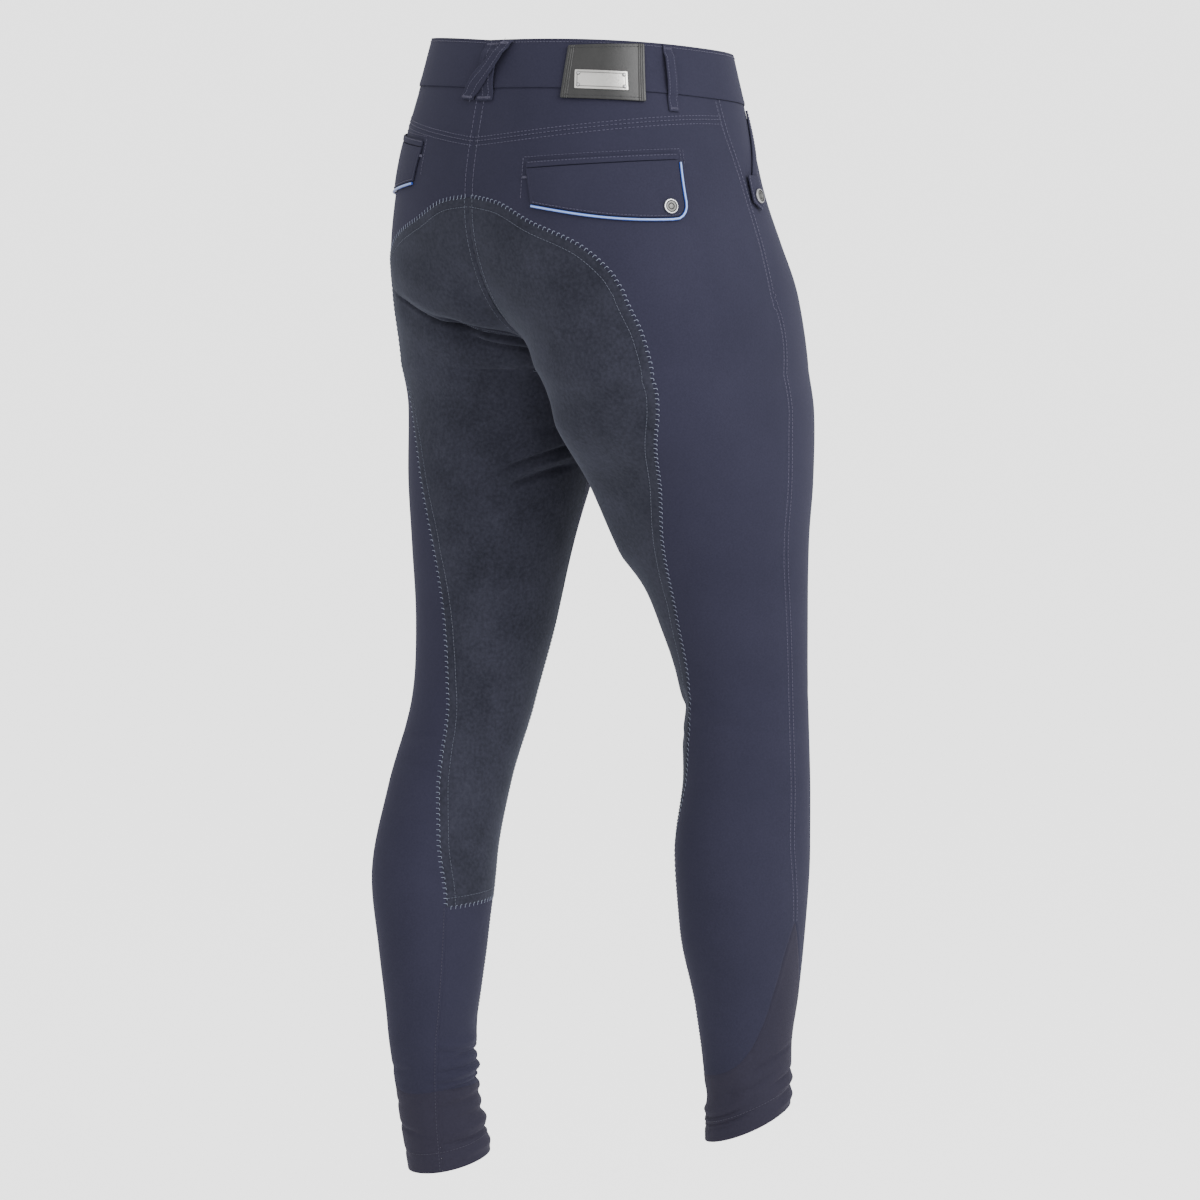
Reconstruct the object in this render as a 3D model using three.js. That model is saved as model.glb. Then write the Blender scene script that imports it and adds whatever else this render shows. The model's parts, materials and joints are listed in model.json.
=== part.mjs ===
// Men's full-seat riding breeches, filled out as if worn, hollow, with the right leg a step forward.
// Millimetres, +Z up, front towards -Y, the wearer's left towards +X. The origin is the middle of
// the waist opening, halfway up the waistband, where the wearer's waist holds the garment up.
//
// Every piece of cloth is cut from one outer surface. A place on that surface has two
// coordinates: "around", which runs round one half of the garment, and "at", the distance
// in millimetres down the garment from a level 5 mm below the middle of the waistband.
//   around 0     centre front above the crotch, the inner leg below it
//   around 0.25  the front of the leg
//   around 0.5   the outer side
//   around 0.75  the back of the leg
//   around 1     centre back above the crotch, the inner leg again below it
import * as THREE from 'three';

// Walls of the different cloths, and the gap that neighbouring pieces keep at a seam.
const CLOTH = 1.8;
const SUEDE = 2.0;
const CUFF_KNIT = 1.6;
const BAND = 3.0;
const EDGE_INSET = 0.18; // what each piece keeps back from a seam
const LAY_GAP = 0.5; // between a panel and what lies on it
const BAND_PROUD = 1.2; // how far the waistband's face stands out from the panels
const HALF_GAP = 0.2; // between the middle of the body and each half
const HEAD_GAP = 0.4; // under the foot of a snap, a rivet or a button

// Lengths down the garment.
const BAND_TOP = -26;
const BAND_BOTTOM = 16;
const BAND_MIDDLE = (BAND_TOP + BAND_BOTTOM) / 2; // the height of the origin
const CROTCH = 252;
const SUEDE_END = 719;
const CUFF_TOP = 888; // top edge of the cuff at its seam
const CUFF_PEAK = 762; // and where it rises to at the side seam
const HEM = 956;

// Half sections of the trunk: half width, and depth to the front and to the back.
const TRUNK = [
  { at: -26, wide: 136, front: 100, back: 114 },
  { at: 16, wide: 146.5, front: 108, back: 124.5 },
  { at: 60, wide: 160, front: 114, back: 135 },
  { at: 95, wide: 168, front: 120, back: 142 },
  { at: 140, wide: 177, front: 132, back: 148 },
  { at: 190, wide: 185, front: 146, back: 149 },
  { at: 252, wide: 192, front: 143, back: 134 },
];
// The waist slopes down to the front, and up a little to the sides; this fades out by the seat.
const WAIST_SLOPE = [
  { at: -26, back: 0.1, out: 0.035 },
  { at: 16, back: 0.1, out: 0.03 },
  { at: 170, back: 0, out: 0 },
];
// The rise seams leave the trunk's section here and curve in to the crotch.
const RISE_START = 74;

// Sections of each leg, from the crotch down. "x" is the centre's distance from the middle of the
// body, "y" its place front to back, "side" the half width, "front" and "back" the depths from the
// centre. "tipBack" and "tipOut" lower the back and the outer side of a section, mm per mm.
const LEGS = {
  left: [
    { at: 252, z: -248, x: 96, y: -9, side: 95.5, front: 110, back: 106, tipBack: 0, tipOut: 0 },
    { at: 290, z: -287, x: 97, y: -2, side: 91, front: 95, back: 88, tipBack: 0, tipOut: 0 },
    { at: 355, z: -353, x: 100, y: 8, side: 81, front: 80, back: 80, tipBack: 0, tipOut: 0 },
    { at: 408, z: -407, x: 102, y: 14, side: 72, front: 69, back: 72, tipBack: 0, tipOut: 0 },
    { at: 478, z: -478, x: 104, y: 22, side: 61, front: 62, back: 62, tipBack: 0, tipOut: 0 },
    { at: 549, z: -549, x: 106, y: 36, side: 54, front: 53, back: 55, tipBack: 0, tipOut: 0 },
    { at: 619, z: -619, x: 107, y: 60, side: 53, front: 48, back: 60, tipBack: 0.04, tipOut: 0 },
    { at: 690, z: -690, x: 108, y: 77, side: 54, front: 47, back: 62, tipBack: 0.06, tipOut: 0 },
    { at: 760, z: -760, x: 108, y: 81, side: 48, front: 43, back: 52, tipBack: 0.08, tipOut: 0 },
    { at: 830, z: -830, x: 109, y: 83, side: 40, front: 38, back: 41, tipBack: 0.12, tipOut: 0.04 },
    { at: 895, z: -894, x: 110, y: 76, side: 36, front: 35, back: 37, tipBack: 0.2, tipOut: 0.1 },
    { at: 956, z: -958, x: 109, y: 64, side: 36, front: 36, back: 37, tipBack: 0.24, tipOut: 0.06 },
  ],
  right: [
    { at: 252, z: -248, x: 96, y: -9, side: 95.5, front: 137, back: 127, tipBack: 0, tipOut: 0 },
    { at: 290, z: -284, x: 101, y: -27, side: 93, front: 119, back: 125, tipBack: 0, tipOut: 0 },
    { at: 355, z: -344, x: 105, y: -46, side: 86, front: 94, back: 100, tipBack: 0, tipOut: 0 },
    { at: 408, z: -394, x: 108, y: -57, side: 76, front: 78, back: 88, tipBack: 0, tipOut: 0 },
    { at: 478, z: -462, x: 112, y: -72, side: 64, front: 62, back: 71, tipBack: 0, tipOut: 0 },
    { at: 549, z: -532, x: 115, y: -83, side: 54, front: 54, back: 60, tipBack: 0, tipOut: 0 },
    { at: 619, z: -601, x: 117, y: -83, side: 55, front: 54, back: 55, tipBack: 0.04, tipOut: 0 },
    { at: 690, z: -670, x: 118, y: -78, side: 58, front: 57, back: 61, tipBack: 0.06, tipOut: 0 },
    { at: 760, z: -738, x: 118, y: -78, side: 54, front: 54, back: 56, tipBack: 0.1, tipOut: 0 },
    { at: 830, z: -804, x: 118, y: -83, side: 44, front: 46, back: 45, tipBack: 0.2, tipOut: -0.06 },
    { at: 895, z: -863, x: 118, y: -84, side: 38, front: 38, back: 38, tipBack: 0.3, tipOut: -0.18 },
    { at: 956, z: -914, x: 117, y: -84, side: 38, front: 38, back: 35, tipBack: 0.38, tipOut: -0.25 },
  ],
};
// How square the sections are: 2 is an ellipse.
const TRUNK_SQUARE = 2.45;
const LEG_SQUARE = 2.1;

// Seams that run down the garment, as places around it.
const SIDE_SEAM = [
  { at: -26, around: 0.48 },
  { at: 38, around: 0.475 },
  { at: 90, around: 0.45 },
  { at: 150, around: 0.437 },
  { at: 252, around: 0.448 },
  { at: 320, around: 0.472 },
  { at: 450, around: 0.498 },
  { at: 670, around: 0.5 },
  { at: 760, around: 0.478 },
  { at: 956, around: 0.48 },
];
// The outer edge of the suede from its shoulder down; below the suede the calf seam goes on.
const SUEDE_BACK = [
  { at: 174, around: 0.684 },
  { at: 215, around: 0.648 },
  { at: 248, around: 0.639 },
  { at: 285, around: 0.656 },
  { at: 328, around: 0.688 },
  { at: 390, around: 0.725 },
  { at: 446, around: 0.753 },
  { at: 529, around: 0.788 },
  { at: 606, around: 0.832 },
  { at: 658, around: 0.868 },
  { at: 719, around: 0.902 },
  { at: 815, around: 0.894 },
  { at: 884, around: 0.87 },
  { at: 956, around: 0.842 },
];
// The top edge of the suede, from its shoulder up to the centre back.
const SUEDE_TOP = [
  { around: 0.684, at: 174 },
  { around: 0.711, at: 159 },
  { around: 0.778, at: 139 },
  { around: 0.889, at: 122 },
  { around: 0.958, at: 108 },
  { around: 1, at: 104 },
];
// The seam at the front of the inner leg, which is the suede's front edge too.
const INNER_SEAM = [
  { at: 252, around: 0 },
  { at: 290, around: 0.03 },
  { at: 370, around: 0.06 },
  { at: 470, around: 0.09 },
  { at: 590, around: 0.115 },
  { at: 719, around: 0.12 },
  { at: 956, around: 0.1 },
];
// The stride turns the cut of each leg a little, seen as a shift of its back seams.
const LEG_TURN = { left: 0.012, right: -0.012 };
const LEG_TURN_OVER = 90; // it grows from nothing over this length
// The seam under the yoke: low at the centre back, high at the side seam.
const YOKE_AT_SIDE = 34;
const YOKE_AT_BACK = 61;
const YOKE_BEND = 1.1; // 1 is a straight seam; more keeps it high for longer
// How fast the cuff's edge falls from its peak, as a share of a turn, and how hollow it falls.
const PEAK_WIDTH = 0.085;
const PEAK_BEND = 1.35;
// How much lower that edge lies at the inner leg.
const CUFF_DIP = { left: 8, right: 0 };

// The largest folds: each runs between two places; troughs have a negative height.
const FOLDS = [
  { leg: 'left', around0: 0.745, at0: 199, around1: 0.86, at1: 218, width: 13, height: -5 },
  { leg: 'left', around0: 0.86, at0: 218, around1: 0.97, at1: 223, width: 13, height: -6 },
  { leg: 'left', around0: 0.76, at0: 162, around1: 0.92, at1: 188, width: 24, height: 4 },
  { leg: 'left', around0: 0.8, at0: 548, around1: 0.98, at1: 566, width: 15, height: -2 },
  { leg: 'right', around0: 0.83, at0: 560, around1: 0.96, at1: 574, width: 14, height: -4 },
  { leg: 'right', around0: 0.8, at0: 305, around1: 0.92, at1: 250, width: 16, height: -3 },
  { leg: 'left', around0: 0.03, at0: 232, around1: 0.22, at1: 200, width: 16, height: -4 },
  { leg: 'right', around0: 0.03, at0: 234, around1: 0.24, at1: 210, width: 16, height: -5 },
  { leg: 'left', around0: 0.9, at0: 842, around1: 1.1, at1: 836, width: 12, height: -2 },
  { leg: 'left', around0: 0.85, at0: 905, around1: 1.1, at1: 900, width: 12, height: -2 },
  { leg: 'right', around0: 0.7, at0: 908, around1: 0.95, at1: 912, width: 12, height: -2 },
];
const MM_AROUND = 420; // roughly one turn, for measuring how far a place is from a fold

// A smooth curve through one column of a table, by monotone cubic pieces.
function column(table, key, at) {
  const last = table.length - 1;
  if (at <= table[0].at) return table[0][key];
  if (at >= table[last].at) return table[last][key];
  let i = 0;
  while (at > table[i + 1].at) i++;
  const slope = (k) => (table[k + 1][key] - table[k][key]) / (table[k + 1].at - table[k].at);
  const tangent = (k) => {
    if (k === 0) return slope(0);
    if (k === last) return slope(last - 1);
    const before = slope(k - 1);
    const after = slope(k);
    return before * after <= 0 ? 0 : (2 * before * after) / (before + after);
  };
  const span = table[i + 1].at - table[i].at;
  const t = (at - table[i].at) / span;
  const h00 = 2 * t ** 3 - 3 * t ** 2 + 1;
  const h10 = t ** 3 - 2 * t ** 2 + t;
  return (
    h00 * table[i][key] +
    h10 * span * tangent(i) +
    (1 - h00) * table[i + 1][key] +
    (t ** 3 - t ** 2) * span * tangent(i + 1)
  );
}

const power = (value, square) => Math.sign(value) * Math.abs(value) ** (2 / square);

// The outer surface before folds, for one half; x grows outwards from the middle of the body.
function baseSurface(leg, around, at) {
  const below = Math.max(at, CROTCH);
  const beta = 2 * Math.PI * around;
  const row = (key) => column(LEGS[leg], key, below);
  const legX = row('x') - row('side') * power(Math.cos(beta), LEG_SQUARE);
  const swing = power(Math.sin(beta), LEG_SQUARE);
  const legY = row('y') - (swing > 0 ? row('front') : row('back')) * swing;
  const legZ = row('z') - row('tipBack') * (legY - row('y')) - row('tipOut') * (legX - row('x'));
  const onLeg = new THREE.Vector3(legX + HALF_GAP, legY, legZ + below - at);
  if (at >= CROTCH) return onLeg;

  // On the trunk the place moves round with the depth, towards the point straight in front of or
  // behind its own point on the leg, so that the one section turns into the other without a step.
  const wide = column(TRUNK, 'wide', at);
  const down = Math.max(0, (at - RISE_START) / (CROTCH - RISE_START));
  const free = Math.PI * around;
  const share = 1 - (1 - down * down) ** (0.5 + Math.sin(free) ** 2);
  const overLeg = Math.asin(Math.min(1, Math.max(0, legX / wide)) ** (TRUNK_SQUARE / 2));
  const alpha = free + share * ((around < 0.5 ? overLeg : Math.PI - overLeg) - free);
  const turn = power(Math.cos(alpha), TRUNK_SQUARE);
  const trunkX = wide * power(Math.sin(alpha), TRUNK_SQUARE);
  const trunkY = -(turn > 0 ? column(TRUNK, 'front', at) : column(TRUNK, 'back', at)) * turn;
  const slope = (key) => column(WAIST_SLOPE, key, at);
  const trunkZ = -at + slope('back') * trunkY + slope('out') * trunkX;
  const onTrunk = new THREE.Vector3(trunkX + HALF_GAP, trunkY, trunkZ);
  return onTrunk.lerp(onLeg, share);
}

// Above the crotch a half ends at the centre seams; below it the leg closes on itself.
function clampAround(around, at) {
  return at < CROTCH ? Math.min(1, Math.max(0, around)) : around;
}

// The outward direction of a surface at a place.
function normalOf(surface, leg, around, at) {
  const stepAround = 0.004;
  const stepAt = 1.5;
  const a0 = clampAround(around - stepAround, at);
  const a1 = clampAround(around + stepAround, at);
  const across = surface(leg, a1, at).sub(surface(leg, a0, at));
  const down = surface(leg, around, at + stepAt).sub(surface(leg, around, at - stepAt));
  return down.cross(across).normalize();
}

function foldHeight(leg, around, at) {
  let height = 0;
  for (const fold of FOLDS) {
    if (fold.leg !== leg) continue;
    const runX = (fold.around1 - fold.around0) * MM_AROUND;
    const runY = fold.at1 - fold.at0;
    let turn = around - fold.around0;
    if (at >= CROTCH) turn -= Math.round(turn - (fold.around1 - fold.around0) / 2);
    const x = turn * MM_AROUND;
    const y = at - fold.at0;
    const along = Math.min(1, Math.max(0, (x * runX + y * runY) / (runX ** 2 + runY ** 2)));
    const off = Math.hypot(x - along * runX, y - along * runY);
    height += fold.height * Math.exp(-((off / fold.width) ** 2));
  }
  return height;
}

function foldedSurface(leg, around, at) {
  const height = foldHeight(leg, around, at);
  const base = baseSurface(leg, around, at);
  if (Math.abs(height) < 0.01) return base;
  return base.addScaledVector(normalOf(baseSurface, leg, around, at), height);
}

// A point on the outer surface of one half, or raised above it, with x away from the middle.
function place(leg, around, at, raised = 0) {
  const held = clampAround(around, at);
  const point = foldedSurface(leg, held, at);
  if (raised !== 0) {
    point.addScaledVector(normalOf(foldedSurface, leg, held, at), raised);
  }
  return point;
}

// The same in the part's own frame, where the right half lies at -X.
const pointOn = (leg) => (around, at, raised) => {
  const point = place(leg, around, at, raised);
  if (leg === 'right') point.x = -point.x;
  point.z += BAND_MIDDLE;
  return point;
};
// For what crosses a centre seam: "side" is how far round it lies from the seam, to the left.
const pointAcross = (centre) => (side, at, raised) => {
  const leg = side < 0 ? 'right' : 'left';
  return pointOn(leg)(Math.abs(centre - Math.abs(side)), at, raised);
};

// One column of a table whose rows are places round the garment.
const columnAround = (table, around) => {
  const turned = table.map((row) => ({ at: row.around, down: row.at }));
  return column(turned, 'down', around);
};

// Lists of numbers and places.
const range = (count) => Array.from({ length: count + 1 }, (_, i) => i);
const spread = (from, to, count, ease = (t) => t) =>
  range(count).map((i) => from + (to - from) * ease(i / count));
const follow = (table, levels, turn = 0) =>
  levels.map((at) => ({ around: column(table, 'around', at) + turn, at }));
const straight = (from, to, count) =>
  spread(0, 1, count).map((t) => ({
    around: from.around + (to.around - from.around) * t,
    at: from.at + (to.at - from.at) * t,
  }));
const easeIn = (t) => t ** 1.5;
const easeOut = (t) => 1 - (1 - t) ** 1.5;
const joinLists = (...lists) => lists.flatMap((list, i) => (i === 0 ? list : list.slice(1)));

const ALL_EDGES = { top: true, bottom: true, left: true, right: true };

// A wall over the area between four edges, each a list of places. "gaps" names the edges that
// meet a neighbour and keep back from it.
function wallBetween(pointOf, edges, wall, { raised = -wall, gaps = ALL_EDGES } = {}) {
  const { top, bottom, left, right } = edges;
  const n = top.length - 1;
  const m = left.length - 1;
  const mixed = (i, j, key) => {
    const a = i / n;
    const b = j / m;
    const corners =
      (1 - a) * (1 - b) * top[0][key] +
      a * (1 - b) * top[n][key] +
      (1 - a) * b * bottom[0][key] +
      a * b * bottom[n][key];
    const rows = (1 - b) * top[i][key] + b * bottom[i][key];
    const columns = (1 - a) * left[j][key] + a * right[j][key];
    return rows + columns - corners;
  };
  const heightAt = typeof raised === 'function' ? raised : () => raised;
  const grids = [wall, 0].map((thick) =>
    range(m).map((j) =>
      range(n).map((i) => {
        const around = mixed(i, j, 'around');
        const at = mixed(i, j, 'at');
        return pointOf(around, at, heightAt(around, at) + thick);
      }),
    ),
  );
  return closedWall(...grids.map((grid) => keptBack(grid, gaps)));
}

// Moves the edges inwards along the surface, square to each edge.
function keptBack(grid, gaps) {
  const m = grid.length - 1;
  const n = grid[0].length - 1;
  const held = (k, last) => Math.min(last, Math.max(0, k));
  const inset = (j, i, stepJ, stepI) => {
    // The edge runs along the other direction; a corner looks at the cell's far corner.
    const before = grid[held(j - Math.abs(stepI), m)][held(i - Math.abs(stepJ), n)];
    const after = grid[held(j + Math.abs(stepI), m)][held(i + Math.abs(stepJ), n)];
    const along = after.clone().sub(before).normalize();
    const acrossJ = stepJ || (j === 0 ? 1 : j === m ? -1 : 0);
    const acrossI = stepI || (i === 0 ? 1 : i === n ? -1 : 0);
    const inwards = grid[j + acrossJ][i + acrossI].clone().sub(grid[j][i]);
    inwards.addScaledVector(along, -inwards.dot(along));
    return inwards.normalize().multiplyScalar(EDGE_INSET);
  };
  return grid.map((line, j) =>
    line.map((point, i) => {
      const moved = point.clone();
      if (i === 0 && gaps.left) moved.add(inset(j, i, 0, 1));
      if (i === n && gaps.right) moved.add(inset(j, i, 0, -1));
      if (j === 0 && gaps.top) moved.add(inset(j, i, 1, 0));
      if (j === m && gaps.bottom) moved.add(inset(j, i, -1, 0));
      return moved;
    }),
  );
}

// Two grids of points, outer and inner, closed into one wall.
function closedWall(outer, inner) {
  const m = outer.length - 1;
  const n = outer[0].length - 1;
  const points = [...outer.flat(), ...inner.flat()];
  const at = (face, j, i) => face * (m + 1) * (n + 1) + j * (n + 1) + i;
  const index = [];
  // Each cell is split along its shorter diagonal.
  const quad = (a, b, c, d) => {
    if (points[a].distanceTo(points[c]) <= points[b].distanceTo(points[d])) {
      index.push(a, b, c, a, c, d);
    } else {
      index.push(a, b, d, b, c, d);
    }
  };
  for (let j = 0; j < m; j++) {
    for (let i = 0; i < n; i++) {
      quad(at(0, j, i), at(0, j + 1, i), at(0, j + 1, i + 1), at(0, j, i + 1));
      quad(at(1, j, i), at(1, j, i + 1), at(1, j + 1, i + 1), at(1, j + 1, i));
    }
  }
  for (let i = 0; i < n; i++) {
    quad(at(0, 0, i), at(0, 0, i + 1), at(1, 0, i + 1), at(1, 0, i));
    quad(at(0, m, i), at(1, m, i), at(1, m, i + 1), at(0, m, i + 1));
  }
  for (let j = 0; j < m; j++) {
    quad(at(0, j, 0), at(1, j, 0), at(1, j + 1, 0), at(0, j + 1, 0));
    quad(at(0, j, n), at(0, j + 1, n), at(1, j + 1, n), at(1, j, n));
  }
  return facesOut(points, index);
}

// Turns the faces round where they point inwards, as on the mirrored half.
function facesOut(points, index) {
  let volume = 0;
  for (let k = 0; k < index.length; k += 3) {
    const [a, b, c] = [points[index[k]], points[index[k + 1]], points[index[k + 2]]];
    volume += a.dot(b.clone().cross(c));
  }
  if (volume < 0) {
    for (let k = 0; k < index.length; k += 3) {
      [index[k + 1], index[k + 2]] = [index[k + 2], index[k + 1]];
    }
  }
  const geometry = new THREE.BufferGeometry().setFromPoints(points);
  geometry.setIndex(index);
  geometry.computeVertexNormals();
  return geometry;
}

const material = (name, color, roughness, metalness = 0) =>
  new THREE.MeshStandardMaterial({ name, color, roughness, metalness });
const LOOKS = {
  cloth: material('main_cloth', 0x2f3145, 0.85),
  suede: material('suede', 0x2b3038, 0.95),
  knit: material('cuff_knit', 0x302f3e, 0.7),
  piping: material('piping', 0x3f6fd0, 0.45),
  leather: material('leather', 0x17171a, 0.45),
  metal: material('metal', 0xc9c7c4, 0.25, 1),
};

const breeches = new THREE.Group();
breeches.name = 'riding_breeches';
function add(name, geometry, look) {
  const mesh = new THREE.Mesh(geometry, look);
  mesh.name = name;
  breeches.add(mesh);
  return mesh;
}

// How many cells each piece has across and down. Pieces that meet share their edge's points.
const ACROSS = { front: 12, back: 10, calf: 5 };
const DOWN = { band: 2, yoke: 2, toArc: 1, arc: 8, rise: 13, seat: 6, thigh: 14, calf: 6, cuff: 7 };

// The edges that the pieces of one half share.
function seamsOf(leg) {
  const turn = LEG_TURN[leg];
  const atSide = (at) => column(SIDE_SEAM, 'around', at);
  const yokeSide = { around: atSide(YOKE_AT_SIDE), at: YOKE_AT_SIDE };
  const backRows = DOWN.toArc + DOWN.arc + DOWN.seat + DOWN.thigh + DOWN.calf;
  const turned = (levels) =>
    levels.map((at) => {
      const fade = Math.min(1, Math.max(0, (at - SUEDE_TOP[0].at) / LEG_TURN_OVER));
      return { around: column(SUEDE_BACK, 'around', at) + turn * fade, at };
    });

  const arcDown = spread(1, SUEDE_TOP[0].around, DOWN.arc).map((around) => ({
    around,
    at: columnAround(SUEDE_TOP, around),
  }));
  const shoulder = arcDown[DOWN.arc].at;
  const suedeBack = turned(spread(shoulder, SUEDE_END, DOWN.seat + DOWN.thigh));
  const calfBack = turned(spread(SUEDE_END, CUFF_TOP, DOWN.calf));
  const cuffBack = turned(spread(CUFF_TOP, HEM, DOWN.cuff));

  // Above the crotch the levels crowd towards it, where the rise seams turn level.
  const rise = (from, count) => {
    const start = Math.asin((from - RISE_START) / (CROTCH - RISE_START));
    return spread(start, Math.PI / 2, count).map(
      (angle) => RISE_START + (CROTCH - RISE_START) * Math.sin(angle),
    );
  };
  const thighLevels = spread(CROTCH, SUEDE_END, DOWN.thigh);
  const innerSeam = follow(INNER_SEAM, thighLevels);
  const dip = CUFF_DIP[leg];
  const calfInner = follow(INNER_SEAM, spread(SUEDE_END, CUFF_TOP + dip, DOWN.calf));
  const backRise = rise(SUEDE_TOP.at(-1).at, DOWN.seat).map((at) => ({ around: 1, at }));
  const waistToYoke = spread(BAND_BOTTOM, YOKE_AT_SIDE, DOWN.yoke);
  const frontRiseRows = backRows - DOWN.rise - DOWN.thigh - DOWN.calf;
  const frontRise = joinLists(
    waistToYoke,
    spread(YOKE_AT_SIDE, RISE_START, frontRiseRows),
    rise(RISE_START, DOWN.rise),
  ).map((at) => ({ around: 0, at }));

  const yokeSeam = spread(0, 1, ACROSS.back).map((t) => ({
    around: yokeSide.around + (1 - yokeSide.around) * t,
    at: YOKE_AT_SIDE + (YOKE_AT_BACK - YOKE_AT_SIDE) * t ** YOKE_BEND,
  }));
  const peak = { around: atSide(CUFF_PEAK), at: CUFF_PEAK };
  const cuffEdge = (around) => {
    const far = Math.abs(around - peak.around) / PEAK_WIDTH;
    const inner = Math.max(0, 1 - around / peak.around);
    const low = CUFF_TOP + dip * Math.min(1, 1.3 * inner);
    return { around, at: low - (low - CUFF_PEAK) * Math.exp(-(far ** PEAK_BEND)) };
  };
  const frontCuff = spread(calfInner.at(-1).around, peak.around, ACROSS.front, easeOut).map(cuffEdge);
  const backCuff = spread(peak.around, calfBack.at(-1).around, ACROSS.back, easeIn).map(cuffEdge);
  frontCuff[0] = calfInner.at(-1);
  backCuff[ACROSS.back] = calfBack.at(-1);
  const oneTurn = (list) => list.map(({ around, at }) => ({ around: around + 1, at }));
  const calfCuff = straight(calfBack.at(-1), oneTurn(calfInner).at(-1), ACROSS.calf);
  const suedeEnd = straight(suedeBack.at(-1), oneTurn(innerSeam).at(-1), DOWN.arc);
  const calfTop = straight(calfBack[0], oneTurn(calfInner)[0], ACROSS.calf);

  const sideUpper = follow(SIDE_SEAM, waistToYoke);
  const sideLower = follow(SIDE_SEAM, spread(YOKE_AT_SIDE, CUFF_PEAK, backRows));
  return {
    arcDown, suedeBack, calfBack, cuffBack, innerSeam, calfInner, backRise, frontRise, yokeSeam,
    frontCuff, backCuff, calfCuff, suedeEnd, calfTop, sideUpper, sideLower, oneTurn,
  };
}

// The panels of one half, from the waist down.
function addPanels(leg) {
  const edges = seamsOf(leg);
  const on = pointOn(leg);
  const bandRow = (at) => [
    ...straight({ around: 0, at }, { around: edges.sideUpper[0].around, at }, ACROSS.front),
    ...straight({ around: edges.sideUpper[0].around, at }, { around: 1, at }, ACROSS.back).slice(1),
  ];
  const centre = (around) =>
    spread(BAND_TOP, BAND_BOTTOM, DOWN.band).map((at) => ({ around, at }));
  add(
    'waistband_' + leg,
    wallBetween(
      on,
      { top: bandRow(BAND_TOP), bottom: bandRow(BAND_BOTTOM), left: centre(0), right: centre(1) },
      BAND,
      { raised: BAND_PROUD - BAND, gaps: { bottom: true } },
    ),
    LOOKS.cloth,
  );
  const waist = bandRow(BAND_BOTTOM);
  add(
    'yoke_' + leg,
    wallBetween(
      on,
      {
        top: waist.slice(ACROSS.front),
        bottom: edges.yokeSeam,
        left: edges.sideUpper,
        right: spread(BAND_BOTTOM, YOKE_AT_BACK, DOWN.yoke).map((at) => ({ around: 1, at })),
      },
      CLOTH,
      { gaps: { top: true, bottom: true, left: true } },
    ),
    LOOKS.cloth,
  );
  add(
    'front_' + leg,
    wallBetween(
      on,
      {
        top: waist.slice(0, ACROSS.front + 1),
        bottom: edges.frontCuff,
        left: joinLists(edges.frontRise, edges.innerSeam, edges.calfInner),
        right: joinLists(edges.sideUpper, edges.sideLower),
      },
      CLOTH,
    ),
    LOOKS.cloth,
  );
  add(
    'back_' + leg,
    wallBetween(
      on,
      {
        top: edges.yokeSeam,
        bottom: edges.backCuff,
        left: edges.sideLower,
        right: joinLists(
          straight(edges.yokeSeam.at(-1), edges.arcDown[0], DOWN.toArc),
          edges.arcDown,
          edges.suedeBack,
          edges.calfBack,
        ),
      },
      CLOTH,
    ),
    LOOKS.cloth,
  );
  add(
    'seat_suede_' + leg,
    wallBetween(
      on,
      {
        top: edges.arcDown.toReversed(),
        bottom: edges.suedeEnd,
        left: edges.suedeBack,
        right: joinLists(edges.backRise, edges.oneTurn(edges.innerSeam)),
      },
      SUEDE,
    ),
    LOOKS.suede,
  );
  add(
    'inner_calf_' + leg,
    wallBetween(
      on,
      {
        top: edges.calfTop,
        bottom: edges.calfCuff,
        left: edges.calfBack,
        right: edges.oneTurn(edges.calfInner),
      },
      CLOTH,
    ),
    LOOKS.cloth,
  );
  const cuffTop = joinLists(
    edges.calfCuff,
    edges.oneTurn(edges.frontCuff),
    edges.oneTurn(edges.backCuff),
  );
  const cuffSeam = edges.cuffBack;
  add(
    'cuff_' + leg,
    wallBetween(
      on,
      {
        top: cuffTop,
        bottom: straight(cuffSeam.at(-1), edges.oneTurn(cuffSeam).at(-1), cuffTop.length - 1),
        left: cuffSeam,
        right: edges.oneTurn(cuffSeam),
      },
      CUFF_KNIT,
      { gaps: { top: true, left: true, right: true } },
    ),
    LOOKS.knit,
  );
}

// What lies on the panels. Heights count from the panels' outer surface.
const ON_PANEL = LAY_GAP;
const ON_BAND = BAND_PROUD + LAY_GAP;
const TRIM = 1.4; // wall of loops, flaps, welts and tabs

// Belt loops, which leave the band between their sewn ends.
const LOOP = { wide: 0.024, top: -25, bottom: 31, ramp: 3, cells: 13 };
const LOOP_RISE = [
  { at: -25, up: 1.7 },
  { at: -19, up: 1.8 },
  { at: -13, up: 4.4 },
  { at: 4, up: 4.4 },
  { at: 12, up: 3.4 },
  { at: 17, up: 2 },
  { at: 21, up: 0.5 },
  { at: 33, up: 0.5 },
];
function loopWall(pointOf, topAround, bottomAround, { bottom = LOOP.bottom, lift = 0 } = {}) {
  const levels = spread(LOOP.top, bottom, LOOP.cells);
  const centre = (at) =>
    topAround + ((bottomAround - topAround) * (at - LOOP.top)) / (bottom - LOOP.top);
  const edge = (shift) => levels.map((at) => ({ around: centre(at) + shift, at }));
  const left = edge(-LOOP.wide / 2);
  const right = edge(LOOP.wide / 2);
  const lifted = (at) => Math.min(1, (at - LOOP.top) / LOOP.ramp, (bottom - at) / LOOP.ramp);
  const raised = (around, at) => column(LOOP_RISE, 'up', at) + lift * Math.max(0, lifted(at));
  const edges = { left, right, top: [left[0], right[0]], bottom: [left.at(-1), right.at(-1)] };
  return wallBetween(pointOf, edges, TRIM, { raised, gaps: {} });
}
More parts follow.
